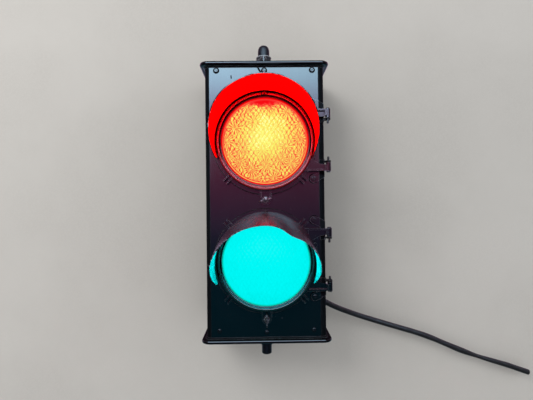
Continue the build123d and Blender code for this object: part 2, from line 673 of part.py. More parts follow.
# ---------------------------------------------------------------- mounting plate
def mounting_plate():
    plate = block(-115, 115, PLATE_Y, PLATE_Y + PLATE_T, 70, 585)
    for x, z in PLATE_FIXINGS:
        plate -= rod(2.7, (x, 60, z), REAR, 10)
    edges = plate.edges().filter_by(Axis.Y).sort_by(Axis.X)
    return fillet(edges[:2] + edges[-2:], 8)


def plate_stud(x, z):
    return rod(6.0, (x, PLATE_Y + PLATE_T, z), REAR, 5.5) + rod(2.5, (x, 55.0, z), REAR, 12)


def plate_nut(x, z):
    return hexagon(8.0, (x, PLATE_Y - 4.0, z), REAR, 4.0) - rod(2.53, (x, 50, z), REAR, 20)


def terminal_block():
    body = block(-48, 48, 46, PLATE_Y, 316, 339)
    for x in TERMINAL_X:        # screw well, then wire entries from below and above
        body -= rod(3.0, (x, 45.0, TERMINAL_Z), REAR, 9.0)
        body -= rod(2.2, (x, TERMINAL_Y, 315.0), UP, 8.0)
        body -= rod(2.2, (x, TERMINAL_Y, 340.0), DOWN, 8.0)
    return body


save(mounting_plate(), "mounting_plate")
save(group([plate_stud(x, z) for x, z in PLATE_FIXINGS]), "plate_studs")
save(group([plate_nut(x, z) for x, z in PLATE_FIXINGS]), "plate_nuts")
save(terminal_block(), "terminal_block")

# ---------------------------------------------------------------- wiring
# z stations of a lamp wire, from the terminal to the lamp holder
LAMP_WIRE_Z = ((333, 360, 405, 437.8), (322, 295, 250, 217.2))
# centre line of the cable, drooping away to the right
CABLE_PATH = [
    (112, CABLE_Y, CABLE_Z), (130, CABLE_Y, CABLE_Z), (146, 35.2, 68.2), (160, 38, 61.5),
    (186, 47, 47), (214.7, 57, 33.6), (250, 64, 19.5), (290, 67, 6.0), (345.9, 67.8, -11.5),
    (433.3, 67.8, -39.5), (502.1, 67.8, -69.0), (560, 67.8, -92.0), (597.7, 67.8, -104.5),
    (650, 67.8, -120.5), (708, 67.8, -141.0),
]


def lamp_wires():
    wires = []
    for holder_x, x in zip((-7.0, 7.0), TERMINAL_X[:2]):
        for stations in LAMP_WIRE_Z:
            xs = (x, x, holder_x, holder_x)
            wires.append(bent_wire([(a, TERMINAL_Y, z) for a, z in zip(xs, stations)], 14))
    return group(wires)


def supply_wires():
    """Three cores from the cable end up to the right-hand terminals."""
    wires = []
    for i, x in enumerate(TERMINAL_X[3:]):
        t = math.radians(120 * i + 30)
        y0, z0 = CABLE_Y + 3.4 * math.cos(t), CABLE_Z + 3.4 * math.sin(t)
        riser_x, cross_z = 98 - 4 * i, 280 - 5 * i
        wires.append(bent_wire([(111.9, y0, z0), (riser_x, y0, z0), (riser_x, 50, 110),
                                (riser_x, 55, cross_z), (x, TERMINAL_Y, cross_z),
                                (x, TERMINAL_Y, 322)], 6))
    return group(wires)


def cable_grommet():
    """Sleeve through the right wall with a lip on each side."""
    lip_r, bore_r = 14.5, CABLE_R + 0.05
    start = (134.6, CABLE_Y, CABLE_Z)
    grommet = tube(10.95, bore_r, start, RIGHT, 8.0)
    grommet += tube(lip_r, bore_r, start, RIGHT, 2.35)
    lip = rod(lip_r, (140.05, CABLE_Y, CABLE_Z), RIGHT, 2.55)
    lip = fillet(lip.edges().group_by(Axis.X)[-1], 1.4)
    grommet += lip - rod(bore_r, (130, CABLE_Y, CABLE_Z), RIGHT, 20)
    return grommet


def cable():
    path = Spline(*CABLE_PATH, tangents=((1, 0, 0), (0.945, 0, -0.33)))
    return sweep(Plane(origin=path @ 0, z_dir=path % 0) * Circle(CABLE_R), path)


save(lamp_wires(), "lamp_wires")
save(supply_wires(), "supply_wires")
save(cable_grommet(), "cable_grommet")
save(cable(), "cable")
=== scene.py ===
"""A two-lamp signal head: red lens above, green lens below, each with a visor.

Metres, +Z up. The head faces -Y, +X is on the right seen from the front, and the lens
axes lie on x = 0. A pale sheet stands upright just behind it.
"""
import bmesh
import bpy
import json
import math
import numpy as np
from functools import partial
from mathutils import Matrix, Vector
from types import SimpleNamespace

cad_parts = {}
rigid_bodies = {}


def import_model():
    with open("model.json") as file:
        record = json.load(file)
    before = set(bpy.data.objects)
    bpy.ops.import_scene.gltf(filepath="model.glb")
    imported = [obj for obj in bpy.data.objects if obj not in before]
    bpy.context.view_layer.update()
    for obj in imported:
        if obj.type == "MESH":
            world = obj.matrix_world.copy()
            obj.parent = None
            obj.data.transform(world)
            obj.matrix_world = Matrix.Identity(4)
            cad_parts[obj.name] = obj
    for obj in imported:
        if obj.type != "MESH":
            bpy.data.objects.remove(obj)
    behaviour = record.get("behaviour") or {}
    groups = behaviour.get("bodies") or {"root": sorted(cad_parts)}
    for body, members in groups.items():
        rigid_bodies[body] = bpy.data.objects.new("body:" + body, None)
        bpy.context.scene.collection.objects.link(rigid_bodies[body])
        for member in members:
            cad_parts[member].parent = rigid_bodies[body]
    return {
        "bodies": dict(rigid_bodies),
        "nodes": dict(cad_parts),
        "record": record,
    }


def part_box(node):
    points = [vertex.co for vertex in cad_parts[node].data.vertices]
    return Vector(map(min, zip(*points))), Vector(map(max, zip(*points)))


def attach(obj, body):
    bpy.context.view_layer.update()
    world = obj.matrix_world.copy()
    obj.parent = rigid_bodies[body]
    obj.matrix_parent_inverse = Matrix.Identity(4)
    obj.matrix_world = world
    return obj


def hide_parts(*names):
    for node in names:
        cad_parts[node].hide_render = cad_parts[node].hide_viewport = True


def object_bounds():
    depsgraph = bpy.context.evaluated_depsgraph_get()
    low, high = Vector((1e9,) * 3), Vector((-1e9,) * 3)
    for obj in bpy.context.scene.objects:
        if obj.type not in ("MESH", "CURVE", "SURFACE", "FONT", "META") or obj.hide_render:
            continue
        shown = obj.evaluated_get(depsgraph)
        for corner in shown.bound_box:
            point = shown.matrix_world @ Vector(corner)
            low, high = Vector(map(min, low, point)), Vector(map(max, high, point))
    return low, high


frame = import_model()
cad_lo, cad_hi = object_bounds()
nodes = frame["nodes"]
bodies = frame["bodies"]
scene = bpy.context.scene


def lens_height(end):
    lo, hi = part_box(end + "_lens")
    return (lo.z + hi.z) / 2


LENS_Z = {end: lens_height(end) for end in ("upper", "lower")}

# Lens, metres: y is measured from the lens seat, the dome bulges towards -Y
LENS_SEAT_Y = -0.098
DOME_R, DOME_SAG = 0.0991, 0.0132
BOWL_R, BOWL_SAG = 0.0950, DOME_SAG - 0.0005
LENS_THICKNESS, BOWL_GAP = 0.0036, 0.0002
PRISM_RELIEF = 0.55                      # millimetres
PRISM_W, PRISM_H = 10.0, 17.0            # lozenge pitch, millimetres

# Bead round each lens, radii from the lens axis
BEAD_IN, BEAD_OUT = 0.1050, 0.1108
BOSS_UP = 0.1085                         # boss centre above the lens axis


# ------------------------------------------------------------------ node helpers
class Signal:
    """A node output; each arithmetic operator on it adds one Math node."""

    def __init__(self, nodes, socket):
        self.nodes = nodes
        self.socket = socket

    def other(self, output):
        """Another output of the same node."""
        return Signal(self.nodes, self.socket.node.outputs[output])

    def clamped(self):
        """Clamp the Math node just made to 0..1."""
        self.socket.node.use_clamp = True
        return self

    def __add__(self, value):
        return self.nodes.math("ADD", self, value)

    def __radd__(self, value):
        return self.nodes.math("ADD", value, self)

    def __sub__(self, value):
        return self.nodes.math("SUBTRACT", self, value)

    def __rsub__(self, value):
        return self.nodes.math("SUBTRACT", value, self)

    def __mul__(self, value):
        return self.nodes.math("MULTIPLY", self, value)

    def __truediv__(self, value):
        return self.nodes.math("DIVIDE", self, value)

    def __pow__(self, value):
        return self.nodes.math("POWER", self, value)

    def __abs__(self):
        return self.nodes.math("ABSOLUTE", self)


class Nodes:
    """Short ways to add nodes to one tree."""

    def __init__(self, tree):
        self.tree = tree

    def put(self, socket, value):
        if isinstance(value, Signal):
            self.tree.links.new(value.socket, socket)
        elif socket.type == "RGBA":
            socket.default_value = (*value, 1)
        else:
            socket.default_value = value

    def node(self, kind, inputs=(), output=0, **settings):
        node = self.tree.nodes.new("ShaderNode" + kind)
        for key, value in settings.items():
            setattr(node, key, value)
        for key, value in dict(inputs).items():
            self.put(node.inputs[key], value)
        return Signal(self, node.outputs[output])

    def math(self, operation, *values):
        return self.node("Math", enumerate(values), operation=operation)

    def maximum(self, a, b):
        return self.math("MAXIMUM", a, b)

    def radius(self, a, b):
        return self.math("SQRT", a ** 2.0 + b ** 2.0)

    def dot(self, a, b):
        return self.node("VectorMath", {0: a, 1: b}, output=1, operation="DOT_PRODUCT")

    def split(self, vector):
        x = self.node("SeparateXYZ", {0: vector})
        return x, x.other(1), x.other(2)

    def place(self):
        return self.node("TexCoord", output="Object")

    def geometry(self, output):
        return self.node("NewGeometry", output=output)

    def noise(self, vector, scale, detail=4.0, rough=0.55, distortion=0.0):
        return self.node("TexNoise", {"Vector": vector, "Scale": scale, "Detail": detail,
                                      "Roughness": rough, "Distortion": distortion},
                         output="Fac")

    def stretched(self, vector, stretch, detail, rough, turn=(0, 0, 0)):
        """Noise drawn out into lines; stretch is its scale along x, y and z."""
        mapped = self.node("Mapping", {"Vector": vector, "Scale": stretch, "Rotation": turn})
        return self.noise(mapped, scale=1.0, detail=detail, rough=rough)

    def voronoi(self, vector, scale, feature="F1"):
        return self.node("TexVoronoi", {"Vector": vector, "Scale": scale}, output="Distance",
                         feature=feature)

    def ramp(self, factor, stops):
        """Colour ramp; stops are (position, colour)."""
        colour = self.node("ValToRGB", {0: factor})
        elements = colour.socket.node.color_ramp.elements
        while len(elements) > 1:
            elements.remove(elements[-1])
        for i, (position, rgb) in enumerate(stops):
            element = elements[0] if i == 0 else elements.new(position)
            element.position = position
            element.color = (*rgb, 1)
        return colour

    def ease(self, value, low, high, out=(0.0, 1.0), kind="SMOOTHSTEP"):
        """out[0] where value is at low, out[1] where it is at high, eased between."""
        return self.node("MapRange", enumerate((value, low, high, *out)), clamp=True,
                         interpolation_type=kind)

    def fade(self, value, low, high):
        return self.ease(value, low, high, out=(1.0, 0.0))

    def band(self, value, rise, fall):
        """1 between the two (low, high) slopes, 0 outside them."""
        return self.ease(value, *rise) * self.fade(value, *fall)

    def mix(self, factor, a, b):
        return self.node("Mix", {0: factor, 6: a, 7: b}, output=2, data_type="RGBA")

    def mix_value(self, factor, a, b):
        return self.node("Mix", {0: factor, 2: a, 3: b}, data_type="FLOAT")

    def mix_shader(self, factor, a, b):
        return self.node("MixShader", {0: factor, 1: a, 2: b})

    def bump(self, height, strength, distance, normal=None):
        inputs = {"Height": height, "Strength": strength, "Distance": distance}
        if normal is not None:
            inputs["Normal"] = normal
        return self.node("Bump", inputs)

    def edge(self, radius, low=0.02, high=0.2):
        """1 on convex and concave edges within about radius, 0 on flats."""
        bevel = self.node("Bevel", {"Radius": radius}, samples=4)
        return self.ease(1.0 - self.dot(bevel, self.geometry("Normal")), low, high)

    def up(self, low=0.35, high=0.95):
        """1 on faces that look upwards."""
        return self.ease(self.split(self.geometry("Normal"))[2], low, high)

    def bsdf(self, base, rough, metal, normal, coat=0.0, coat_rough=0.1, spec=0.5, sheen=0.0):
        inputs = {"Base Color": base, "Roughness": rough, "Metallic": metal,
                  "Coat Weight": coat, "Coat Roughness": coat_rough,
                  "Specular IOR Level": spec, "Normal": normal}
        if sheen:
            inputs["Sheen Weight"] = sheen
        if coat:
            inputs["Coat Normal"] = normal
        return self.node("BsdfPrincipled", inputs)

    def surface(self, shader, kind="ShaderNodeOutputMaterial"):
        output = self.tree.nodes.new(kind)
        self.put(output.inputs["Surface"], shader)


class Material(Nodes):
    def __init__(self, name):
        self.material = bpy.data.materials.new(name)
        self.material.use_nodes = True
        super().__init__(self.material.node_tree)
        self.tree.nodes.clear()

    def done(self, shader):
        self.surface(shader)
        return self.material


def tinted(colour, factor, lift=0.0):
    return tuple(min(1, c * factor + lift) for c in colour)


# ------------------------------------------------------------------ enamel
def stroke_mask(m, place, start, end, width):
    """1 inside a short stroke from start to end (x, z) on the front face, else 0."""
    x, y, z = m.split(place)
    dx, dz = end[0] - start[0], end[1] - start[1]
    length = math.hypot(dx, dz)
    unit_x, unit_z = dx / length, dz / length
    from_x = x - start[0]
    from_z = z - start[1]
    along = from_x * unit_x + from_z * unit_z
    across = abs(from_x * unit_z - from_z * unit_x)
    wobble = m.noise(place, scale=700, detail=2) * (width * 0.9)
    inside = m.fade(across + wobble, low=width * 0.9, high=width * 1.6)
    ends = m.band(along, rise=(-0.0008, 0.0006), fall=(length - 0.0006, length + 0.0008))
    return inside * m.fade(y, low=-0.0745, high=-0.0735) * ends


# Paint layers, several of them painted light or shade. Each one changes skin.colour and, where
# gloss is lost, skin.matt.
# skin.patches is a mid-sized noise and skin.edges the edge mask.
# DULL_BLACK fills both the painted shade rings and the real scuff marks
DULL_BLACK = (0.0012, 0.0010, 0.0011)


def painted_glow_inside(m, skin, axis_z, colour, root_y):
    """Painted lens glow, patchy, on the face that looks at the lens axis, and painted shade,
    near black, at its root.
    """
    x, y, z = m.split(skin.place)
    inward = m.node("CombineXYZ", {0: x * -1.0, 2: (axis_z - 0.009) - z})
    normal = m.node("TexCoord", output="Normal")
    facing = m.dot(m.node("VectorMath", {0: inward}, operation="NORMALIZE"), normal)
    inside = m.ease(facing, low=0.55, high=0.8)
    # painted shade near the root, where the ring shades the visor; painted lens glow on the
    # rest of the inner face
    root = m.ease(y, low=root_y - 0.004, high=root_y + 0.001)
    tone = m.mix(m.ease(skin.patches, low=0.35, high=0.7),
                 tinted(colour, 0.75), tinted(colour, 1.2))
    skin.colour = m.mix(inside, skin.colour, m.mix(root, tone, tinted(colour, 0.004)))
    skin.matt = inside


def painted_edge_highlight(m, skin, amount, colour):
    """Painted highlight along sharp edges, broken up a little."""
    broken = m.ease(skin.patches, low=0.30, high=0.55, out=(0.55, 1.0))
    skin.colour = m.mix(skin.edges * (broken * amount), skin.colour, colour)


def painted_edge_shade(m, skin):
    # painted shade: the edges of the screw heads are made black and matt, as dark outlines
    skin.matt = skin.edges * 1.0
    skin.colour = m.mix(skin.matt, skin.colour, (0.0008, 0.0008, 0.0008))


def matt_strips_and_shade_rings(m, skin, left, right, rings=()):
    """Matt strips beyond x = left and x = right, and rings of painted shade on the front.

    rings are (x, z, radius, line width).
    """
    x, y, z = m.split(skin.place)
    ragged_x = x + (m.noise(skin.place, scale=60.0, detail=3) - 0.5) * 0.0012
    soft = 0.0008
    strips = m.maximum(m.fade(ragged_x, low=left - soft, high=left + soft),
                       m.ease(ragged_x, low=right - soft, high=right + soft))
    skin.matt = strips * 0.9
    if not rings:
        return
    # painted shade: a dark matt ring round each listed centre
    front = m.fade(y, low=-0.0735, high=-0.0705)
    for ring_x, ring_z, radius, width in rings:
        from_line = abs(m.radius(x - ring_x, z - ring_z) - radius)
        line = m.fade(from_line, low=width * 0.5, high=width * 0.9)
        broken = m.ease(m.noise(skin.place, scale=260.0, detail=3),
                        low=0.25, high=0.5, out=(0.6, 1.0))
        mask = line * front * broken
        skin.colour = m.mix(mask, skin.colour, DULL_BLACK)
        skin.matt = m.maximum(skin.matt, mask).clamped()


def painted_bead_glow_and_shade(m, skin, axis_z, colour, highlight_arc_colour):
    """Painted lens glow on the bead next to the glass, painted shade in the grooves and round
    the boss above, and a painted highlight arc low down.
    """
    x, y, z = m.split(skin.place)
    r = m.radius(x, z - axis_z)
    # painted lens glow on the bead: full on the upper side, dimmer on the lower side
    side = m.ease(z - axis_z, low=-0.055, high=0.005, out=(0.30, 1.0))
    bead = m.band(r, rise=(BEAD_IN, BEAD_IN + 0.0014), fall=(BEAD_OUT, BEAD_OUT + 0.0008))
    bead = bead * (side * m.ease(skin.patches, low=0.2, high=0.5, out=(0.92, 1.0)))
    skin.colour = m.mix(bead, skin.colour, colour)
    lower = m.fade(side, low=0.3, high=0.7)

    # painted shade: black in the groove between lip and bead, and a black line at the root
    # outside the bead
    groove = m.band(r, rise=(0.1016, 0.1024), fall=(BEAD_IN - 0.0006, BEAD_IN + 0.0006))
    front = m.fade(y, low=-0.0975, high=-0.0955)
    root = m.ease(r, low=BEAD_OUT + 0.0002, high=BEAD_OUT + 0.0010) * front
    groove = m.maximum(groove, root) * m.mix_value(lower, 0.97, 0.35)

    # the boss at twelve o'clock: painted shade as a dark outline round it and in its screw
    # hole
    boss_r = m.radius(x * 0.75, (z - axis_z) - BOSS_UP)
    boss = m.maximum(m.fade(abs(boss_r - 0.0052), low=0.0005, high=0.0011),
                     m.fade(boss_r, low=0.0008, high=0.0016))
    groove = m.maximum(groove, boss * front * 0.95).clamped()
    skin.colour = m.mix(groove, skin.colour, (0.0006, 0.0004, 0.0005))
    skin.matt = m.maximum(skin.matt, groove).clamped()

    # painted highlight: a pale arc along the lower half of the groove
    highlight_arc = m.band(r, rise=(0.1028, 0.1034), fall=(0.1048, 0.1054))
    broken = m.ease(skin.patches, low=0.25, high=0.5, out=(0.65, 1.0))
    skin.colour = m.mix(highlight_arc * (lower * front * broken), skin.colour, highlight_arc_colour)


def dull_top(m, skin, amount, colour):
    top = m.up(low=0.45, high=0.8) * amount
    skin.matt = m.maximum(skin.matt, top).clamped()
    skin.colour = m.mix(top, skin.colour, tinted(colour, 0.9))


def painted_highlight_band(m, skin, bottom, top, colour):
    # painted highlight: a pale band between the two heights, broken up a little
    z = m.split(skin.place)[2]
    band = m.band(z, rise=(bottom, bottom + 0.0004), fall=(top - 0.0004, top))
    broken = m.ease(skin.patches, low=0.2, high=0.5, out=(0.7, 1.0))
    skin.colour = m.mix(band * broken, skin.colour, colour)


def scuffs(m, skin, strokes):
    mask = 0.0
    for stroke in strokes:
        mask = m.maximum(mask, stroke_mask(m, skin.place, *stroke)).clamped()
    skin.colour = m.mix(mask, skin.colour, DULL_BLACK)
    skin.matt = m.maximum(skin.matt, mask).clamped()


def paint(name, base, rough, coat, peel, wear, dust, edge_r=0.0011, cast=0.0, chips=(),
          bare=(0.20, 0.20, 0.21), layers=()):
    """Black enamel: orange peel, wipe marks, fine scratches, worn edges, dust on the tops.

    peel and cast are bump strengths, chips are strokes down to the bare colour.
    """
    m = Material(name)
    place = m.place()
    clouds = m.noise(place, scale=7.0, detail=5, rough=0.6, distortion=0.4)
    patches = m.noise(place, scale=42.0, detail=5, rough=0.62)
    fine = m.noise(place, scale=900.0, detail=2, rough=0.5)
    peel_height = m.noise(place, scale=420.0, detail=2, rough=0.45)
    streak = m.stretched(place, stretch=(260, 260, 9), turn=(0.02, 0.0, 0.05),
                         detail=3, rough=0.6)
    level = m.stretched(place, stretch=(40, 40, 2600), turn=(0.0, 0.35, 0.0),
                        detail=2, rough=0.5)
    upright = m.stretched(place, stretch=(1900, 60, 50), turn=(0.0, 0.22, 0.1),
                          detail=2, rough=0.5)
    scratches = m.maximum(m.ease(level, low=0.735, high=0.765),
                          m.ease(upright, low=0.74, high=0.77))
    scratches = scratches * m.ease(patches, low=0.45, high=0.6)

    edges = m.edge(edge_r)
    worn = edges * m.ease(patches + fine * 0.35, low=0.66 - 0.10 * wear,
                          high=0.80 - 0.10 * wear) * wear
    specks = m.ease(m.voronoi(place, scale=95.0), low=0.055, high=0.03)
    specks = specks * m.ease(clouds, low=0.52, high=0.6)
    bared = m.maximum(worn, specks * (0.5 * wear)).clamped()
    for chip in chips:
        bared = m.maximum(bared, stroke_mask(m, place, *chip)).clamped()
    dusty = m.up() * m.ease(clouds + patches * 0.5, low=0.55, high=0.95) * dust

    tone = m.ease(clouds + streak * 0.35, low=0.4, high=1.0)
    colour = m.mix(tone, tinted(base, 0.72), tinted(base, 1.45, lift=0.0003))
    colour = m.mix(bared, colour, bare)
    colour = m.mix(scratches * 0.25, colour, (0.10, 0.10, 0.105))
    colour = m.mix(dusty, colour, (0.20, 0.185, 0.165))
    skin = SimpleNamespace(place=place, patches=patches, edges=edges, colour=colour, matt=0.0)
    for layer in layers:
        layer(m, skin)

    roughness = rough + (clouds - 0.5) * 0.16
    roughness = roughness + (streak - 0.5) * 0.08
    roughness = (roughness + scratches * 0.2).clamped()
    roughness = m.mix_value(m.maximum(dusty, bared * 0.6), roughness, 0.7)
    normal = m.bump(peel_height, strength=peel, distance=0.0006)
    if cast:
        grain = m.noise(place, scale=1500.0, detail=3, rough=0.6)
        lumps = m.noise(place, scale=230.0, detail=3, rough=0.6)
        normal = m.bump(grain + lumps * 1.2, strength=cast, distance=0.0006, normal=normal)
    normal = m.bump(0.0 - bared, strength=0.35, distance=0.0003, normal=normal)
    glossy = (1.0 - m.maximum(m.maximum(dusty, bared), skin.matt)).clamped()
    coat_weight = glossy * coat
    spec = m.mix_value(skin.matt, 0.5, 0.03)
    roughness = m.mix_value(skin.matt, roughness, 0.75)
    return m.done(m.bsdf(skin.colour, roughness, metal=bared * 0.4, normal=normal,
                         coat=coat_weight, coat_rough=roughness * 0.85, spec=spec))


# ------------------------------------------------------------------ other materials
def metal(name, base, rough, dirt=0.4, brush=0.25, dirt_colour=(0.05, 0.042, 0.035),
          edge_light=0.5, metallic=1.0, paint_left=0.0):
    """Worn metal: directional polish, grime in corners, brighter edges, optional old paint."""
    m = Material(name)
    place = m.place()
    patches = m.noise(place, scale=130.0, detail=5, rough=0.6)
    fine = m.noise(place, scale=900.0, detail=4, rough=0.6)
    brushed = m.stretched(place, stretch=(300, 300, 3200), detail=2, rough=0.5)
    edges = m.edge(0.0006, low=0.03, high=0.25)
    corners = 1.0 - m.node("AmbientOcclusion", {"Distance": 0.006}, output="AO", samples=6)
    grime = m.ease(corners * 1.1 + patches * 0.6, low=0.45, high=0.95) * dirt

    colour = m.mix(m.ease(patches, low=0.35, high=0.7), tinted(base, 0.78), tinted(base, 1.12))
    colour = m.mix(edges * edge_light, colour, tinted(base, 1.35, lift=0.03))
    colour = m.mix(grime, colour, dirt_colour)
    roughness = rough + (patches - 0.5) * 0.22
    roughness = (roughness + grime * 0.35).clamped()
    metalness = (1.0 - grime * 0.7) * metallic
    if paint_left:
        painted = m.ease(patches + fine * 0.3, low=0.78 - paint_left * 0.5,
                         high=0.84 - paint_left * 0.5) * (1.0 - edges * 0.85)
        colour = m.mix(painted, colour, (0.02, 0.02, 0.022))
        metalness = metalness * (1.0 - painted)
        roughness = m.mix_value(painted, roughness, 0.35)
    normal = m.bump(brushed, strength=brush * 0.4, distance=0.0002)
    normal = m.bump(fine, strength=0.12, distance=0.0002, normal=normal)
    return m.done(m.bsdf(colour, roughness, metal=metalness, normal=normal))


def rubber(name, base, rough=0.55, dust=0.3):
    m = Material(name)
    place = m.place()
    patches = m.noise(place, scale=60.0, detail=5, rough=0.65)
    fine = m.noise(place, scale=1700.0, detail=3, rough=0.6)
    dusty = m.up(low=0.1, high=0.9) * m.ease(patches, low=0.42, high=0.75) * dust
    colour = m.mix(m.ease(patches, low=0.3, high=0.7), tinted(base, 0.7), tinted(base, 1.5))
    colour = m.mix(dusty, colour, (0.16, 0.15, 0.135))
    normal = m.bump(fine, strength=0.22, distance=0.0003)
    normal = m.bump(patches, strength=0.08, distance=0.001, normal=normal)
    return m.done(m.bsdf(colour, m.mix_value(dusty, rough, 0.85), metal=0.0, normal=normal,
                         sheen=0.06))


def plastic(name, base, rough):
    m = Material(name)
    place = m.place()
    patches = m.noise(place, scale=25.0, detail=5, rough=0.6)
    fine = m.noise(place, scale=960.0, detail=2, rough=0.5)
    spots = m.noise(place, scale=120.0, detail=5, rough=0.65)
    spots = m.ease(spots, low=0.55, high=0.8) * 0.25
    colour = m.mix(m.ease(patches, low=0.3, high=0.7), tinted(base, 0.86), tinted(base, 1.08))
    colour = m.mix(spots, colour, tinted(base, 0.35))
    normal = m.bump(fine, strength=0.12, distance=0.0002)
    return m.done(m.bsdf(colour, (rough + spots * 0.3).clamped(), metal=0.0, normal=normal,
                         coat=0.15, coat_rough=0.2))


def wires(name):
    """Insulated singles: brown and blue sheaths picked by position across the head."""
    brown, blue = (0.10, 0.035, 0.015), (0.02, 0.05, 0.22)
    m = Material(name)
    place = m.place()
    pick = m.math("FRACT", (m.split(place)[0] + 0.2) * 31.0)
    colour = m.ramp(pick, [(0.0, brown), (0.45, brown), (0.5, blue), (1.0, blue)])
    fine = m.noise(place, scale=800.0, detail=3)
    colour = m.mix(m.ease(fine, low=0.4, high=0.8, out=(0.0, 0.3)), colour, (0.3, 0.28, 0.25))
    normal = m.bump(fine, strength=0.1, distance=0.0002)
    return m.done(m.bsdf(colour, 0.35, metal=0.0, normal=normal, coat=0.2))


def clear_glass(name):
    """Smeared glass that casts no shadow."""
    m = Material(name)
    place = m.place()
    smear = m.ease(m.noise(place, scale=90.0, detail=4, rough=0.6, distortion=0.5),
                   low=0.45, high=0.7)
    waves = m.bump(m.noise(place, scale=60.0, detail=2), strength=0.05, distance=0.001)
    glass = m.node("BsdfGlass", {
        "IOR": 1.47,
        "Color": m.mix(smear, (0.98, 0.99, 1.0), (0.93, 0.95, 0.95)),
        "Roughness": smear * 0.05,
        "Normal": waves})
    shadow_ray = m.node("LightPath", output="Is Shadow Ray")
    return m.done(m.mix_shader(shadow_ray, glass, m.node("BsdfTransparent")))


def spun_reflector(name):
    m = Material(name)
    place = m.place()
    rings = m.stretched(place, stretch=(0.2, 900, 0.2), detail=3, rough=0.6)
    fog = m.ease(m.noise(place, scale=30.0, detail=5, rough=0.6), low=0.45, high=0.75)
    colour = m.mix(fog, (0.90, 0.90, 0.91), (0.70, 0.69, 0.67))
    normal = m.bump(rings, strength=0.10, distance=0.0003)
    dents = m.voronoi(place, scale=160.0, feature="SMOOTH_F1")
    normal = m.bump(dents, strength=0.12, distance=0.0006, normal=normal)
    return m.done(m.bsdf(colour, 0.09 + fog * 0.16, metal=1.0, normal=normal))


def porcelain(name):
    m = Material(name)
    place = m.place()
    clouds = m.noise(place, scale=35.0, detail=5, rough=0.6)
    spots = m.ease(m.voronoi(place, scale=230.0), low=0.12, high=0.08)
    colour = m.mix(m.ease(clouds, low=0.35, high=0.7), (0.80, 0.78, 0.72), (0.88, 0.87, 0.83))
    spots = spots * m.ease(clouds, low=0.5, high=0.6, out=(0.0, 0.6))
    colour = m.mix(spots, colour, (0.25, 0.2, 0.15))
    normal = m.bump(clouds, strength=0.15, distance=0.001)
    return m.done(m.bsdf(colour, 0.22, metal=0.0, normal=normal, coat=0.6, coat_rough=0.06))


def lit_lens(name, stops, cast_colour, cast_strength, gain, glossy_share):
    """Lit moulded lens: the glow attribute drives the colour the camera sees."""
    m = Material(name)
    place = m.place()
    glow = m.node("Attribute", output="Fac", attribute_name="glow")
    fine = m.noise(place, scale=900.0, detail=3, rough=0.6)
    glow = glow + (fine - 0.5) * 0.10
    facing = m.node("LayerWeight", {0: 0.35}, output="Facing")
    glow = (glow - facing * 0.10).clamped()
    seen = m.node("Emission", {0: m.ramp(glow, stops), 1: gain})

    # light thrown on the head itself: full upwards, level and onto the near rim, weak down
    camera_ray = m.node("LightPath", output="Is Camera Ray")
    incoming_z = m.split(m.geometry("Incoming"))[2]
    aim = m.ease(incoming_z, low=-0.55, high=-0.10, out=(0.05, 1.0))
    near = m.fade(camera_ray.other("Ray Length"), low=0.030, high=0.055)
    shine = camera_ray.other("Is Glossy Ray") * glossy_share
    strength = m.maximum(m.maximum(aim, near), shine) * cast_strength
    cast = m.node("Emission", {0: cast_colour, 1: strength})

    waves = m.bump(m.noise(place, scale=300.0, detail=2), strength=0.06, distance=0.0006)
    gloss = m.node("BsdfGlossy", {"Roughness": 0.12, "Color": (0.6, 0.6, 0.6),
                                  "Normal": waves})
    fresnel = m.node("Fresnel", {0: 1.45})
    visible = m.mix_shader(fresnel * 0.6, seen, gloss)
    m.material.cycles.emission_sampling = "NONE"
    return m.done(m.mix_shader(camera_ray, cast, visible))


# Lens colour against glow, 0 dark to 1 hot
RED_STOPS = [
    (0.0, (0.72, 0.0, 0.0)), (0.18, (0.90, 0.001, 0.004)), (0.34, (0.93, 0.03, 0.03)),
    (0.50, (0.94, 0.18, 0.065)), (0.62, (0.94, 0.45, 0.10)), (0.76, (0.95, 0.74, 0.12)),
    (0.88, (0.96, 0.92, 0.15)), (0.95, (1.0, 1.0, 0.26)), (1.0, (1.0, 1.0, 0.55))]
GREEN_STOPS = [
    (0.0, (0.0, 0.30, 0.16)), (0.2, (0.0, 0.62, 0.42)), (0.5, (0.0, 0.80, 0.75)),
    (0.75, (0.0, 0.90, 0.88)), (1.0, (0.0, 0.98, 0.965))]


# ------------------------------------------------------------------ lens pattern, millimetres
def smoothstep(t):
    t = np.clip(t, 0, 1)
    return t * t * (3 - 2 * t)


def smooth(start, end, x):
    """0 at start, 1 at end."""
    return smoothstep((x - start) / (end - start))


def lerp(a, b, share):
    return a * (1 - share) + b * share


def blob(x, z, centre_x, centre_z, spread):
    return np.exp(-((x - centre_x) ** 2 + (z - centre_z) ** 2) / (2 * spread ** 2))


def value_noise(x, z, cell, shift, seed):
    """Seeded smooth noise, 0..1, on a grid of the given cell size."""
    x, z = x / cell[0] + shift[0], z / cell[1] + shift[1]
    grid = np.random.RandomState(seed).rand(256, 256)
    xi, zi = np.floor(x).astype(int), np.floor(z).astype(int)
    fx, fz = smoothstep(x - xi), smoothstep(z - zi)
    a, b = grid[xi % 256, zi % 256], grid[(xi + 1) % 256, zi % 256]
    c, d = grid[xi % 256, (zi + 1) % 256], grid[(xi + 1) % 256, (zi + 1) % 256]
    return (a * (1 - fx) + b * fx) * (1 - fz) + (c * (1 - fx) + d * fx) * fz


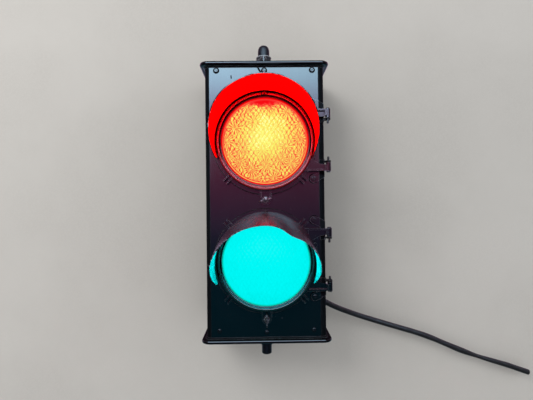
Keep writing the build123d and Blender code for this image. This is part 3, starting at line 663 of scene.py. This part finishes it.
def warp(x, z):
    """The lozenge rows wander a little, as in a cut mould."""
    def wander(wide_shift, wide_seed, tight_shift, tight_seed):
        wide = value_noise(x, z, cell=(15, 15), shift=wide_shift, seed=wide_seed)
        tight = value_noise(x, z, cell=(6, 6), shift=tight_shift, seed=tight_seed)
        return wide - 0.5 + 0.5 * (tight - 0.5)

    dx = wander(wide_shift=(60, 20), wide_seed=12, tight_shift=(20, 70), tight_seed=14)
    dz = wander(wide_shift=(10, 80), wide_seed=13, tight_shift=(30, 50), tight_seed=15)
    return x + 5.0 * dx, z + 6.5 * dz


def lozenge(x, z, width, height):
    """Two slanted coordinates, each running -1..1 across one lozenge."""
    u, v = x / width + z / height, x / width - z / height
    return 2 * (u - np.floor(u)) - 1, 2 * (v - np.floor(v)) - 1


def prism_height(x, z):
    """Lozenge prisms, 0 in the valleys and 1 on the crowns."""
    a, b = lozenge(*warp(x, z), PRISM_W, PRISM_H)
    return (1 - np.abs(a) ** 2.2) * (1 - np.abs(b) ** 2.2)


# Rosette centres on the red lens, (x, z)
ROSETTES = [
    (47, -14), (0, -56), (-50, -14), (78, 4), (-86, 2), (52, 66), (-68, 30), (-38, 80),
    (60, -50), (-58, -48), (24, 28), (-24, 42), (20, -84), (-24, -82), (84, -34), (-84, -34),
    (82, 38), (10, 78), (-6, -22), (34, -40), (-32, -64)]


def add_rosettes(glow, x, z, hot):
    """Rosettes of thin spokes cut across the lozenges, strongest away from the lamp.

    Also returns how calm the fine hatching is, lowest inside a rosette.
    """
    calm = np.ones_like(glow)
    for i, (centre_x, centre_z) in enumerate(ROSETTES):
        distance = np.hypot(x - centre_x, z - centre_z)
        angle = np.arctan2(z - centre_z, x - centre_x)
        spokes = 13 + (i * 5) % 6
        wave = 0.5 + 0.5 * np.cos(spokes * angle + i + 0.8 * np.sin(2 * angle + i))
        ray = smooth(0.25, 0.85, wave)
        reach = np.exp(-(distance / 17.0) ** 4) * smooth(0.6, 3.0, distance)
        reach = reach * (1 - 0.78 * hot) * 0.9
        level = 0.31 + 0.14 * hot + (0.53 + 0.05 * np.cos(3 * angle + i)) * ray
        glow = lerp(glow, level, reach)
        calm *= 1 - 0.7 * reach
    return glow, calm


def red_glow(x, z, height):
    r = np.hypot(x, z)
    # one wide hot area with smaller hot spots and two dim spots
    hot = blob(x, z, 2, 10, spread=46.0)
    spots = (blob(x, z, 32, 38, spread=13.0) + 0.9 * blob(x, z, -4, 44, spread=12.0)
             + 0.45 * blob(x, z, -8, -18, spread=20.0))
    dim = 0.16 * blob(x, z, 3, -39, spread=9.0) + 0.10 * blob(x, z, 24, -12, spread=7.0)
    cell = 0.76 + 0.16 * hot + 0.15 * spots
    line = 0.27 + 0.48 * hot + 0.14 * spots - 0.05 * smooth(55, 90, r)
    cell -= dim
    cell += 0.03 * smooth(-20, -80, z)

    # crossed facets: each lozenge is split by a fine upright and a fine level line
    warped = warp(x, z)
    u, v = np.abs(lozenge(*warped, PRISM_W, PRISM_H))
    facet = smooth(0.0, 0.16, np.minimum(np.abs(u - v), 1 - np.maximum(u, v)))
    glow = line + (cell - line) * smooth(0.06, 0.55, height) * (0.55 + 0.45 * facet)
    glow, calm = add_rosettes(glow, x, z, hot)

    # fine cross-hatching of the small facets, then two grains of speckle
    a, b = np.abs(lozenge(*warped, 4.6, 6.4))
    glow += 0.20 * (a * b - 0.25) * (1.0 - 0.55 * hot) * calm
    coarse = value_noise(x, z, cell=(2.6, 4.0), shift=(40, 40), seed=7)
    fine = value_noise(x, z, cell=(1.7, 2.6), shift=(90, 90), seed=8)
    glow += 0.18 * (coarse - 0.5) * (1.1 - 0.6 * hot)
    glow += 0.24 * (fine - 0.5) * (1.0 - 0.55 * hot)

    # the top of the lens stays deep red, with a ragged lower edge
    ragged = 8 * (value_noise(x, z, cell=(6, 6), shift=(9, 9), seed=3) - 0.5)
    top = smooth(72, 90, z + ragged) * smooth(52, 14, np.abs(x + 2))
    glow = lerp(glow, 0.20, top)
    # dim margin, a thin bright ring that is strongest low down, and a dark rim
    glow = lerp(glow, 0.36, smooth(90.5, 95.5, r))
    ring = np.exp(-((r - 95.9) / 0.5) ** 2) * (0.14 + 0.46 * smooth(20, -60, z))
    glow = lerp(glow, 0.18, smooth(96.2, 97.2, r)) + ring * smooth(0.9, 0.2, top)
    return np.clip(glow, 0, 1)


def green_glow(x, z, height):
    r = np.hypot(x, z)
    fine = value_noise(x, z, cell=(1.7, 3.4), shift=(50, 50), seed=5)
    coarse = value_noise(x, z, cell=(4, 7), shift=(10, 10), seed=8)
    glow = 1.0 - 0.07 * (1 - smooth(0.05, 0.5, height)) - 0.13 * fine
    glow -= 0.14 * smooth(35, 95, r) * coarse
    glow -= 0.10 * smooth(60, 92, np.abs(z))
    return np.clip(lerp(glow, 0.22, smooth(95.0, 99.0, r)), 0, 1)


# ------------------------------------------------------------------ lenses with real prisms
PLAIN, PRISMS, BOWL = range(3)


def dome_y(r, rim_r, sag):
    """Depth of a spherical cap of the given rim radius and sag."""
    sphere_r = (rim_r ** 2 + sag ** 2) / (2 * sag)
    return -(sag - (sphere_r - math.sqrt(sphere_r * sphere_r - r * r)))


def lens_profile(dome_rings, bowl_rings=24):
    """(radius, y, kind) from the front centre, over the rim, to the back centre."""
    radii = [DOME_R * (i / dome_rings) ** 0.96 for i in range(1, dome_rings + 1)]
    profile = [(r, dome_y(r, DOME_R, DOME_SAG), PRISMS) for r in radii]
    # stepped rim: (radius, y)
    rim = [(0.0992, 0.0004), (0.1037, 0.0006), (0.1039, 0.0009),
           (0.1039, 0.0042), (0.1036, 0.0044), (0.0953, 0.0044)]
    profile += [(r, y, PLAIN) for r, y in rim]
    for i in range(bowl_rings, 0, -1):
        r = BOWL_R * i / bowl_rings
        profile.append((r, dome_y(r, BOWL_R, BOWL_SAG) + LENS_THICKNESS + BOWL_GAP, BOWL))
    return profile


def add_object(name, data):
    obj = bpy.data.objects.new(name, data)
    scene.collection.objects.link(obj)
    return obj


def make_lens(name, axis_z, glow_of, material):
    """Domed lens in one closed skin: prisms outside, stepped rim, bowl inside."""
    segments = 560
    profile = lens_profile(dome_rings=92)
    angles = np.linspace(0, 2 * np.pi, segments, endpoint=False)
    rings, glow = [], []
    for r, y, kind in profile:
        x, z = r * np.cos(angles), r * np.sin(angles)
        ring_y = np.full(segments, y)
        ring_glow = np.full(segments, 0.2)
        if kind != PLAIN:
            height = prism_height(x * 1000, z * 1000)
        if kind == PRISMS:
            # the prisms die out at a small step near the rim
            fade = 1 - smooth(0.0950, 0.0962, np.full(segments, r))
            step = 0.0004 * np.exp(-((r - 0.0962) / 0.0006) ** 2)
            ring_y = ring_y + (1 - height ** 0.8) * PRISM_RELIEF * 0.001 * fade + step
            ring_glow = glow_of(x * 1000, z * 1000, height * fade + (1 - fade))
        if kind == BOWL:
            ring_y = ring_y - (1 - height ** 0.8) * 0.0004
        rings.append(np.stack([x, ring_y, z], 1))
        glow.append(ring_glow)

    verts = np.concatenate(rings)
    front = len(verts)
    back = front + 1
    verts = np.vstack([verts, [[0, -DOME_SAG, 0]],
                       [[0, -BOWL_SAG + LENS_THICKNESS + BOWL_GAP, 0]]])
    near_centre = np.array([0.01])
    centre_glow = glow_of(near_centre, near_centre, prism_height(np.zeros(1), np.zeros(1)))
    glow = np.concatenate(glow + [centre_glow, [0.2]])

    faces = []
    last = (len(profile) - 1) * segments
    for a in range(0, last, segments):
        b = a + segments
        for i in range(segments):
            n = (i + 1) % segments
            faces.append((a + i, b + i, b + n, a + n))
    for i in range(segments):
        n = (i + 1) % segments
        faces.append((front, i, n))
        faces.append((back, last + n, last + i))

    mesh = bpy.data.meshes.new(name)
    mesh.from_pydata([tuple(p) for p in verts], [], faces)
    mesh.update()
    mesh.attributes.new("glow", "FLOAT", "POINT").data.foreach_set(
        "value", glow.astype(np.float32))
    mesh.shade_smooth()
    lens = add_object(name, mesh)
    lens.location = (0, LENS_SEAT_Y, axis_z)
    mesh.materials.append(material)
    return lens


def fix_normals(mesh):
    bm = bmesh.new()
    bm.from_mesh(mesh)
    bmesh.ops.recalc_face_normals(bm, faces=bm.faces)
    bm.to_mesh(mesh)
    bm.free()


RED_LIT = lit_lens("lens_red_lit", RED_STOPS, cast_colour=(1.0, 0.0, 0.0),
                   cast_strength=9.0, gain=1.02, glossy_share=0.85)
GREEN_LIT = lit_lens("lens_green_lit", GREEN_STOPS, cast_colour=(0.0, 1.0, 0.97),
                     cast_strength=7.0, gain=1.0, glossy_share=0.02)
for end, glow_of, material, slot in (("upper", red_glow, RED_LIT, "lens_red"),
                                     ("lower", green_glow, GREEN_LIT, "lens_green")):
    lens = make_lens(end + "_lens_prisms", LENS_Z[end], glow_of, material)
    fix_normals(lens.data)
    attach(lens, end + "_door")
    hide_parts(end + "_lens")

# ------------------------------------------------------------------ materials on the CAD nodes
# Strokes on the front: start (x, z), end (x, z), width
SCUFFS = [((-0.0150, 0.6425), (-0.0056, 0.6268), 0.0023),
          ((-0.0777, 0.6240), (-0.0773, 0.6165), 0.0014)]
CHIPS = [((0.035, 0.0560), (0.0365, 0.0556), 0.0004),
         ((-0.052, 0.110), (-0.049, 0.1105), 0.0004),
         ((-0.1352, 0.0590), (-0.1345, 0.0530), 0.0016)]
# Rings of painted shade on the body front, round the top screws and the hinge lugs: x, z,
# radius, line width
SHADE_RINGS = [(x, z, 0.0060, 0.0017)
         for x, z in ((-0.1124, 0.6355), (0.0, 0.6350), (0.1124, 0.6355))]
SHADE_RINGS += [(0.113, LENS_Z[end] + dz, 0.0102, 0.0018)
          for end, dz in (("upper", -0.085), ("lower", 0.093), ("lower", -0.085))]
LEFT_CORNER, RIGHT_CORNER = -0.1292, 0.1262
CAP_BLACK = (0.0014, 0.0008, 0.0012)
RING_PAINT = dict(rough=0.17, coat=0.5, peel=0.04, wear=0.6, dust=0.08, cast=0.04,
                  edge_r=0.0013)
VISOR_PAINT = dict(base=(0.0046, 0.0032, 0.0046), rough=0.22, coat=0.35, peel=0.04, wear=0.6,
                   dust=0.05, edge_r=0.0008)

MATERIALS = {
    "body": paint(
        "enamel_body", base=(0.0010, 0.0016, 0.0021), rough=0.17, coat=0.55, peel=0.03,
        wear=0.5, dust=0.12, chips=CHIPS, bare=(0.16, 0.17, 0.17),
        layers=[partial(matt_strips_and_shade_rings, left=LEFT_CORNER, right=RIGHT_CORNER, rings=SHADE_RINGS),
                partial(scuffs, strokes=SCUFFS)]),
    # cap: painted highlight on its edges
    "cap": paint(
        "enamel_cap", base=CAP_BLACK, rough=0.15, coat=0.32, peel=0.04, wear=0.5, dust=0.02,
        cast=0.03,
        layers=[partial(painted_edge_highlight, amount=0.8, colour=(0.20, 0.25, 0.28)),
                partial(dull_top, amount=0.97, colour=CAP_BLACK)]),
    # upper ring: painted highlight on the edges; on the bead painted red lens glow, painted
    # shade and a painted highlight arc
    "ring_u": paint(
        "enamel_ring_upper", base=(0.0030, 0.0024, 0.0030), **RING_PAINT,
        layers=[partial(painted_edge_highlight, amount=0.8, colour=(0.26, 0.22, 0.25)),
                partial(painted_bead_glow_and_shade, axis_z=LENS_Z["upper"], colour=(0.90, 0.0008, 0.0070),
                        highlight_arc_colour=(0.42, 0.16, 0.21))]),
    # lower ring: the same painted light and shade in teal
    "ring_l": paint(
        "enamel_ring_lower", base=(0.0030, 0.0030, 0.0036), **RING_PAINT,
        layers=[partial(painted_edge_highlight, amount=0.30, colour=(0.16, 0.28, 0.32)),
                partial(painted_bead_glow_and_shade, axis_z=LENS_Z["lower"], colour=(0.001, 0.075, 0.080),
                        highlight_arc_colour=(0.05, 0.36, 0.44))]),
    # visor insides: painted lens glow, red above and teal below, with painted shade at the
    # root
    "visor_u": paint(
        "enamel_visor_upper", **VISOR_PAINT,
        layers=[partial(painted_glow_inside, axis_z=LENS_Z["upper"], colour=(0.22, 0.0018, 0.0018),
                        root_y=-0.1175)]),
    "visor_l": paint(
        "enamel_visor_lower", **VISOR_PAINT,
        layers=[partial(painted_glow_inside, axis_z=LENS_Z["lower"], colour=(0.0012, 0.105, 0.110),
                        root_y=-0.130)]),
    # screws: painted shade as black edges
    "screw_enamel": paint(
        "enamel_screws", base=(0.0030, 0.0030, 0.0036), rough=0.20, coat=0.5, peel=0.03,
        wear=0.3, dust=0.05, layers=[painted_edge_shade]),
    # brackets: painted highlight on the edges
    "arm": paint(
        "enamel_brackets", base=(0.0014, 0.0016, 0.0021), rough=0.17, coat=0.55, peel=0.04,
        wear=0.6, dust=0.05, edge_r=0.0012,
        layers=[partial(painted_edge_highlight, amount=0.9, colour=(0.30, 0.30, 0.34)),
                partial(matt_strips_and_shade_rings, left=-0.5, right=RIGHT_CORNER)]),
    # plug: painted highlight on the edges and a painted highlight band round the flange
    "plug": paint(
        "moulded_plug", base=(0.0024, 0.0020, 0.0034), rough=0.50, coat=0.0, peel=0.04,
        wear=0.3, dust=0.05, edge_r=0.0013, cast=0.05,
        layers=[partial(painted_edge_highlight, amount=1.0, colour=(0.62, 0.66, 0.72)),
                partial(painted_highlight_band, bottom=0.6922, top=0.6946, colour=(0.50, 0.56, 0.62))]),
    "zinc": metal("zinc_screws", base=(0.62, 0.61, 0.58), rough=0.36, dirt=0.55),
    "dark_screw": metal("painted_screws", base=(0.30, 0.30, 0.30), rough=0.42, dirt=0.6,
                        paint_left=0.75),
    "wing": metal("wing_nickel", base=(0.42, 0.41, 0.41), rough=0.30, dirt=0.85,
                  paint_left=0.42),
    "fitting": metal("blackened_steel", base=(0.085, 0.085, 0.095), rough=0.36, dirt=0.4,
                     edge_light=0.9),
    "rubber": rubber("moulded_rubber", base=(0.012, 0.012, 0.013)),
    "cable": rubber("cable_sheath", base=(0.010, 0.010, 0.011), rough=0.42, dust=0.12),
    "reflector": spun_reflector("spun_aluminium"),
    "porcelain": porcelain("holder_porcelain"),
    "glass": clear_glass("lamp_glass_clear"),
    "brass": metal("lamp_brass", base=(0.72, 0.52, 0.22), rough=0.28, dirt=0.5,
                   dirt_colour=(0.09, 0.05, 0.02)),
    "plate": metal("plate_passivated", base=(0.55, 0.54, 0.46), rough=0.38, dirt=0.35,
                   brush=0.6),
    "filament": metal("filament_stem", base=(0.40, 0.39, 0.37), rough=0.35, dirt=0.1),
    "terminal": plastic("terminal_moulding", base=(0.62, 0.58, 0.46), rough=0.4),
    "wire": wires("wire_sheaths"),
}
# Material for each CAD slot; ring and visor have an upper and a lower version
BY_SLOT = {
    "body_black": "body", "cap_black": "cap", "ring_black": "ring", "visor_black": "visor",
    "rubber": "rubber", "zinc_screw": "zinc", "dark_screw": "dark_screw",
    "latch_metal": "wing", "fitting_steel": "fitting", "reflector_alu": "reflector",
    "porcelain": "porcelain", "lamp_glass": "glass", "lamp_brass": "brass",
    "filament": "filament", "plate_zinc": "plate", "terminal_plastic": "terminal",
    "wire_pvc": "wire", "cable_black": "cable", "brass_bush": "brass"}
# Nodes that do not follow their slot
BY_NODE = {"hinge_brackets": "arm", "top_plug": "plug", "top_clamp_nut": "wing"}
for place in ("top_cap", "bottom_cap", "hinge", "upper_visor", "lower_visor"):
    BY_NODE[place + "_screws"] = "screw_enamel"

for part in frame["record"]["subparts"]:
    name = part["node"]
    key = BY_NODE.get(name) or BY_SLOT.get(part["material_slot"])
    if key is None:
        continue
    if key in ("ring", "visor"):
        key += "_u" if name.startswith("upper") else "_l"
    obj = nodes[name]
    if not obj.material_slots:
        obj.data.materials.append(MATERIALS[key])
    for slot in obj.material_slots:
        slot.material = MATERIALS[key]


# ------------------------------------------------------------------ visors
def even_out(bm, longest=0.009, rounds=7):
    """Split the long sheet triangles so the surface can bend."""
    bmesh.ops.remove_doubles(bm, verts=bm.verts, dist=1e-6)
    for _ in range(rounds):
        long_edges = [e for e in bm.edges if e.calc_length() > longest]
        if not long_edges:
            break
        bmesh.ops.subdivide_edges(bm, edges=long_edges, cuts=1)
        bmesh.ops.triangulate(bm, faces=[f for f in bm.faces if len(f.verts) > 3])


def bend_visor(bm, axis_z, seed, lean, dented):
    """Lean the visor to -X, spring it up and make it wavy; optionally knock it in."""
    phase = np.random.RandomState(seed).rand(6) * 6.28
    for vert in bm.verts:
        x, y, z = vert.co
        # the visor's own axis falls away from the lens axis towards the front
        visor_z = axis_z - 0.0917 * max(0.0, -0.1022 - y)
        angle = math.atan2(x, z - visor_z)
        free = smoothstep((-0.125 - y) / 0.09)
        vert.co.x -= smoothstep((-0.106 - y) / 0.055) * lean
        vert.co.z += free * 0.0018
        # hand-bent waviness, growing towards the free edge
        waves = math.sin(3 * angle + phase[0]) + 0.6 * math.sin(5 * angle + phase[1])
        out = free * 0.0006 * waves
        if dented:
            # a dent right of the top, with a slight bulge beyond it
            out -= free * 0.0062 * math.exp(-((angle - 0.50) / 0.20) ** 2)
            out += free * 0.0018 * math.exp(-((angle - 1.05) / 0.25) ** 2)
        vert.co.x += out * math.sin(angle)
        vert.co.z += out * math.cos(angle)


def redo_visor(end, material, **bend):
    name = end + "_visor_skin"
    mesh = nodes[end + "_visor"].data.copy()
    mesh.name = name
    visor = add_object(name, mesh)
    bm = bmesh.new()
    bm.from_mesh(mesh)
    even_out(bm)
    bend_visor(bm, LENS_Z[end], **bend)
    bm.to_mesh(mesh)
    bm.free()
    mesh.shade_smooth()
    bevel = visor.modifiers.new("edge", "BEVEL")
    bevel.width = 0.0003
    bevel.segments = 2
    bevel.limit_method = "ANGLE"
    bevel.angle_limit = math.radians(50)
    visor.modifiers.new("wn", "WEIGHTED_NORMAL").keep_sharp = False
    mesh.materials.clear()
    mesh.materials.append(material)
    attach(visor, end + "_door")
    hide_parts(end + "_visor")


redo_visor("upper", MATERIALS["visor_u"], seed=11, lean=0.0030, dented=False)
redo_visor("lower", MATERIALS["visor_l"], seed=23, lean=0.0036, dented=True)


# ------------------------------------------------------------------ floor and front card
def upright_sheet(name, y, half_width, bottom, top, material):
    mesh = bpy.data.meshes.new(name)
    w = half_width
    mesh.from_pydata([(-w, y, bottom), (w, y, bottom), (w, y, top), (-w, y, top)],
                     [], [(0, 1, 2, 3)])
    sheet = add_object(name, mesh)
    mesh.materials.append(material)
    return sheet


def floor_material():
    """Pale and matt; only the camera sees it, and only from the front."""
    m = Material("pale_floor")
    place = m.place()
    clouds = m.noise(place, scale=3.0, detail=6, rough=0.6)
    fine = m.noise(place, scale=220.0, detail=4, rough=0.6)
    colour = m.mix(m.ease(clouds, low=0.3, high=0.7), (0.60, 0.585, 0.56), (0.66, 0.645, 0.62))
    colour = m.mix(m.ease(fine, low=0.3, high=0.8), colour, (0.64, 0.625, 0.60))
    normal = m.bump(fine, strength=0.05, distance=0.001)
    diffuse = m.node("BsdfDiffuse", {0: colour, "Normal": normal})
    camera_ray = m.node("LightPath", output="Is Camera Ray")
    seen = camera_ray * (1.0 - m.geometry("Backfacing"))
    return m.done(m.mix_shader(seen, m.node("BsdfTransparent"), diffuse))


CARD_BOTTOM, CARD_TOP, CARD_GAIN = -1.2, 3.6, 9.0
# Card colour by height: z, colour
CARD_COLOURS = [
    (-1.2, (0.0, 0.012, 0.019)), (-0.3, (0.0, 0.012, 0.020)), (-0.08, (0.006, 0.013, 0.028)),
    (0.09, (0.022, 0.015, 0.038)), (0.33, (0.058, 0.017, 0.044)),
    (0.57, (0.088, 0.017, 0.046)), (0.72, (0.120, 0.020, 0.046)), (1.00, (0.16, 0.060, 0.10)),
    (1.17, (0.25, 0.17, 0.28)), (1.30, (0.36, 0.36, 0.54)), (1.42, (0.48, 0.60, 0.86)),
    (1.55, (0.59, 0.91, 1.18)), (1.75, (0.74, 1.14, 1.42)), (2.4, (0.52, 0.80, 1.0)),
    (3.6, (0.28, 0.36, 0.46))]


def card_material():
    """Bright and bluish high up, dim rose at lens height, dim teal low down."""
    m = Material("card_glow")
    x, _, z = m.split(m.place())
    span = CARD_TOP - CARD_BOTTOM
    height = ((z - CARD_BOTTOM) / span).clamped()
    colour = m.ramp(height, [((z - CARD_BOTTOM) / span, rgb) for z, rgb in CARD_COLOURS])
    gain = m.ease(x, low=-0.6, high=0.7, out=(CARD_GAIN, CARD_GAIN * 0.78))
    return m.done(m.node("Emission", {0: colour, 1: gain}))


upright_sheet("floor", y=cad_hi.y + 0.0006, half_width=6.0, bottom=-6.0, top=6.0,
                       material=floor_material())
card = upright_sheet("card", y=-3.0, half_width=2.3, bottom=CARD_BOTTOM, top=CARD_TOP,
                     material=card_material())
card.visible_camera = False
card.visible_diffuse = False
card.visible_shadow = False


# ------------------------------------------------------------------ lights
def area_light(name, location, target, size, power, colour):
    """Area light unseen by camera and mirror rays; size is (x, y), or a disk diameter."""
    data = bpy.data.lights.new(name, "AREA")
    if isinstance(size, tuple):
        data.shape = "RECTANGLE"
        data.size, data.size_y = size
    else:
        data.shape = "DISK"
        data.size = size
    data.energy = power
    data.color = colour
    data.spread = math.pi
    light = add_object(name, data)
    light.location = location
    light.rotation_mode = "QUATERNION"
    aim = Vector(target) - Vector(location)
    light.rotation_quaternion = aim.to_track_quat("-Z", "Y")
    light.visible_camera = False
    light.visible_glossy = False
    return light


def lens_light(name, end, power, colour):
    """The lamp's own light, just before the lens, thrown level and up more than down."""
    z = LENS_Z[end]
    light = area_light(name, (0, -0.1135, z), target=(0, -1, z), size=0.188, power=power,
                       colour=(1.0, 1.0, 1.0))
    light.parent = bodies[end + "_door"]
    light.data.use_nodes = True
    m = Nodes(light.data.node_tree)
    emission = next(n for n in m.tree.nodes if n.type == "EMISSION")
    incoming_z = m.split(m.geometry("Incoming"))[2]
    m.put(emission.inputs[0], colour)
    m.put(emission.inputs[1], m.ease(incoming_z, low=-0.50, high=-0.08, out=(0.03, 1.0)))


# Soft studio lights: name, location, size, power, colour
STUDIO_LIGHTS = [
    ("key", (-1.7, -2.2, 2.2), (1.6, 1.6), 46.0, (1.0, 0.98, 0.95)),
    ("fill_r", (2.4, -1.2, 0.9), (1.2, 1.8), 13.0, (0.95, 0.98, 1.0)),
    ("fill_l", (-2.4, -0.9, 0.5), (1.2, 1.8), 10.0, (1.0, 0.98, 0.96)),
    ("rear", (0.6, 2.6, 1.6), (2.0, 1.6), 55.0, (1.0, 1.0, 1.0)),
    ("overhead", (0.0, 0.1, 2.4), (1.8, 1.2), 16.0, (1.0, 1.0, 1.0))]
for name, location, size, power, colour in STUDIO_LIGHTS:
    area_light(name, location, (0, 0, 0.33), size, power, colour)
lens_light("lamp_red", "upper", power=3.6, colour=(1.0, 0.0, 0.0))
lens_light("lamp_green", "lower", power=2.8, colour=(0.0, 1.0, 0.98))


# ------------------------------------------------------------------ world
def studio_world():
    """Even grey for most rays; mirror rays see a dim room, teal below and rose above."""
    world = bpy.data.worlds.new("studio")
    scene.world = world
    world.use_nodes = True
    m = Nodes(world.node_tree)
    m.tree.nodes.clear()
    _, y, z = m.split(m.node("TexCoord", output="Generated"))
    height = m.ease(z, low=-1.0, high=1.0, kind="LINEAR")
    tint = m.ramp(height, [(0.30, (0.10, 0.30, 0.40)), (0.62, (1.15, 0.70, 1.10))])
    # darkest straight ahead of the head, brighter behind so the sides and back still read
    ahead = m.ease(y, low=-0.95, high=-0.45, out=(0.012, 0.11), kind="LINEAR")
    behind = m.ease(y, low=0.0, high=0.5, out=(0.0, 0.42))
    even = m.node("Background", {0: (0.80, 0.80, 0.80), 1: 0.55})
    mirrored = m.node("Background", {0: tint, 1: ahead + behind})
    glossy_ray = m.node("LightPath", output="Is Glossy Ray")
    m.surface(m.mix_shader(glossy_ray, even, mirrored), kind="ShaderNodeOutputWorld")


studio_world()

# ------------------------------------------------------------------ camera and render
CAMERA_PLACE = (-0.00828, -0.97418, 0.31827)
# radians: heading is clockwise from +Y seen from above
PITCH, ROLL, HEADING = 0.0142028, -0.0111567, 0.0117966


def camera_matrix():
    c, s = math.cos(HEADING), math.sin(HEADING)
    level_right = Vector((c, -s, 0))
    forward = Vector((s * math.cos(PITCH), c * math.cos(PITCH), math.sin(PITCH)))
    level_up = Vector((-s * math.sin(PITCH), -c * math.sin(PITCH), math.cos(PITCH)))
    right = math.cos(ROLL) * level_right + math.sin(ROLL) * level_up
    up = math.cos(ROLL) * level_up - math.sin(ROLL) * level_right
    matrix = Matrix((right, up, -forward)).transposed().to_4x4()
    matrix.translation = CAMERA_PLACE
    return matrix


camera_data = bpy.data.cameras.new("camera")
camera_data.sensor_width = 36.0
camera_data.lens = 26.0
camera_data.clip_start = 0.02
camera_data.clip_end = 60.0
camera = add_object("camera", camera_data)
camera.matrix_world = camera_matrix()
scene.camera = camera

scene.view_settings.view_transform = "Standard"
scene.view_settings.look = "None"
scene.view_settings.exposure = 0.0
scene.cycles.use_denoising = True
scene.cycles.max_bounces = 8
scene.cycles.sample_clamp_indirect = 6.0
scene.cycles.caustics_reflective = False
scene.cycles.caustics_refractive = False
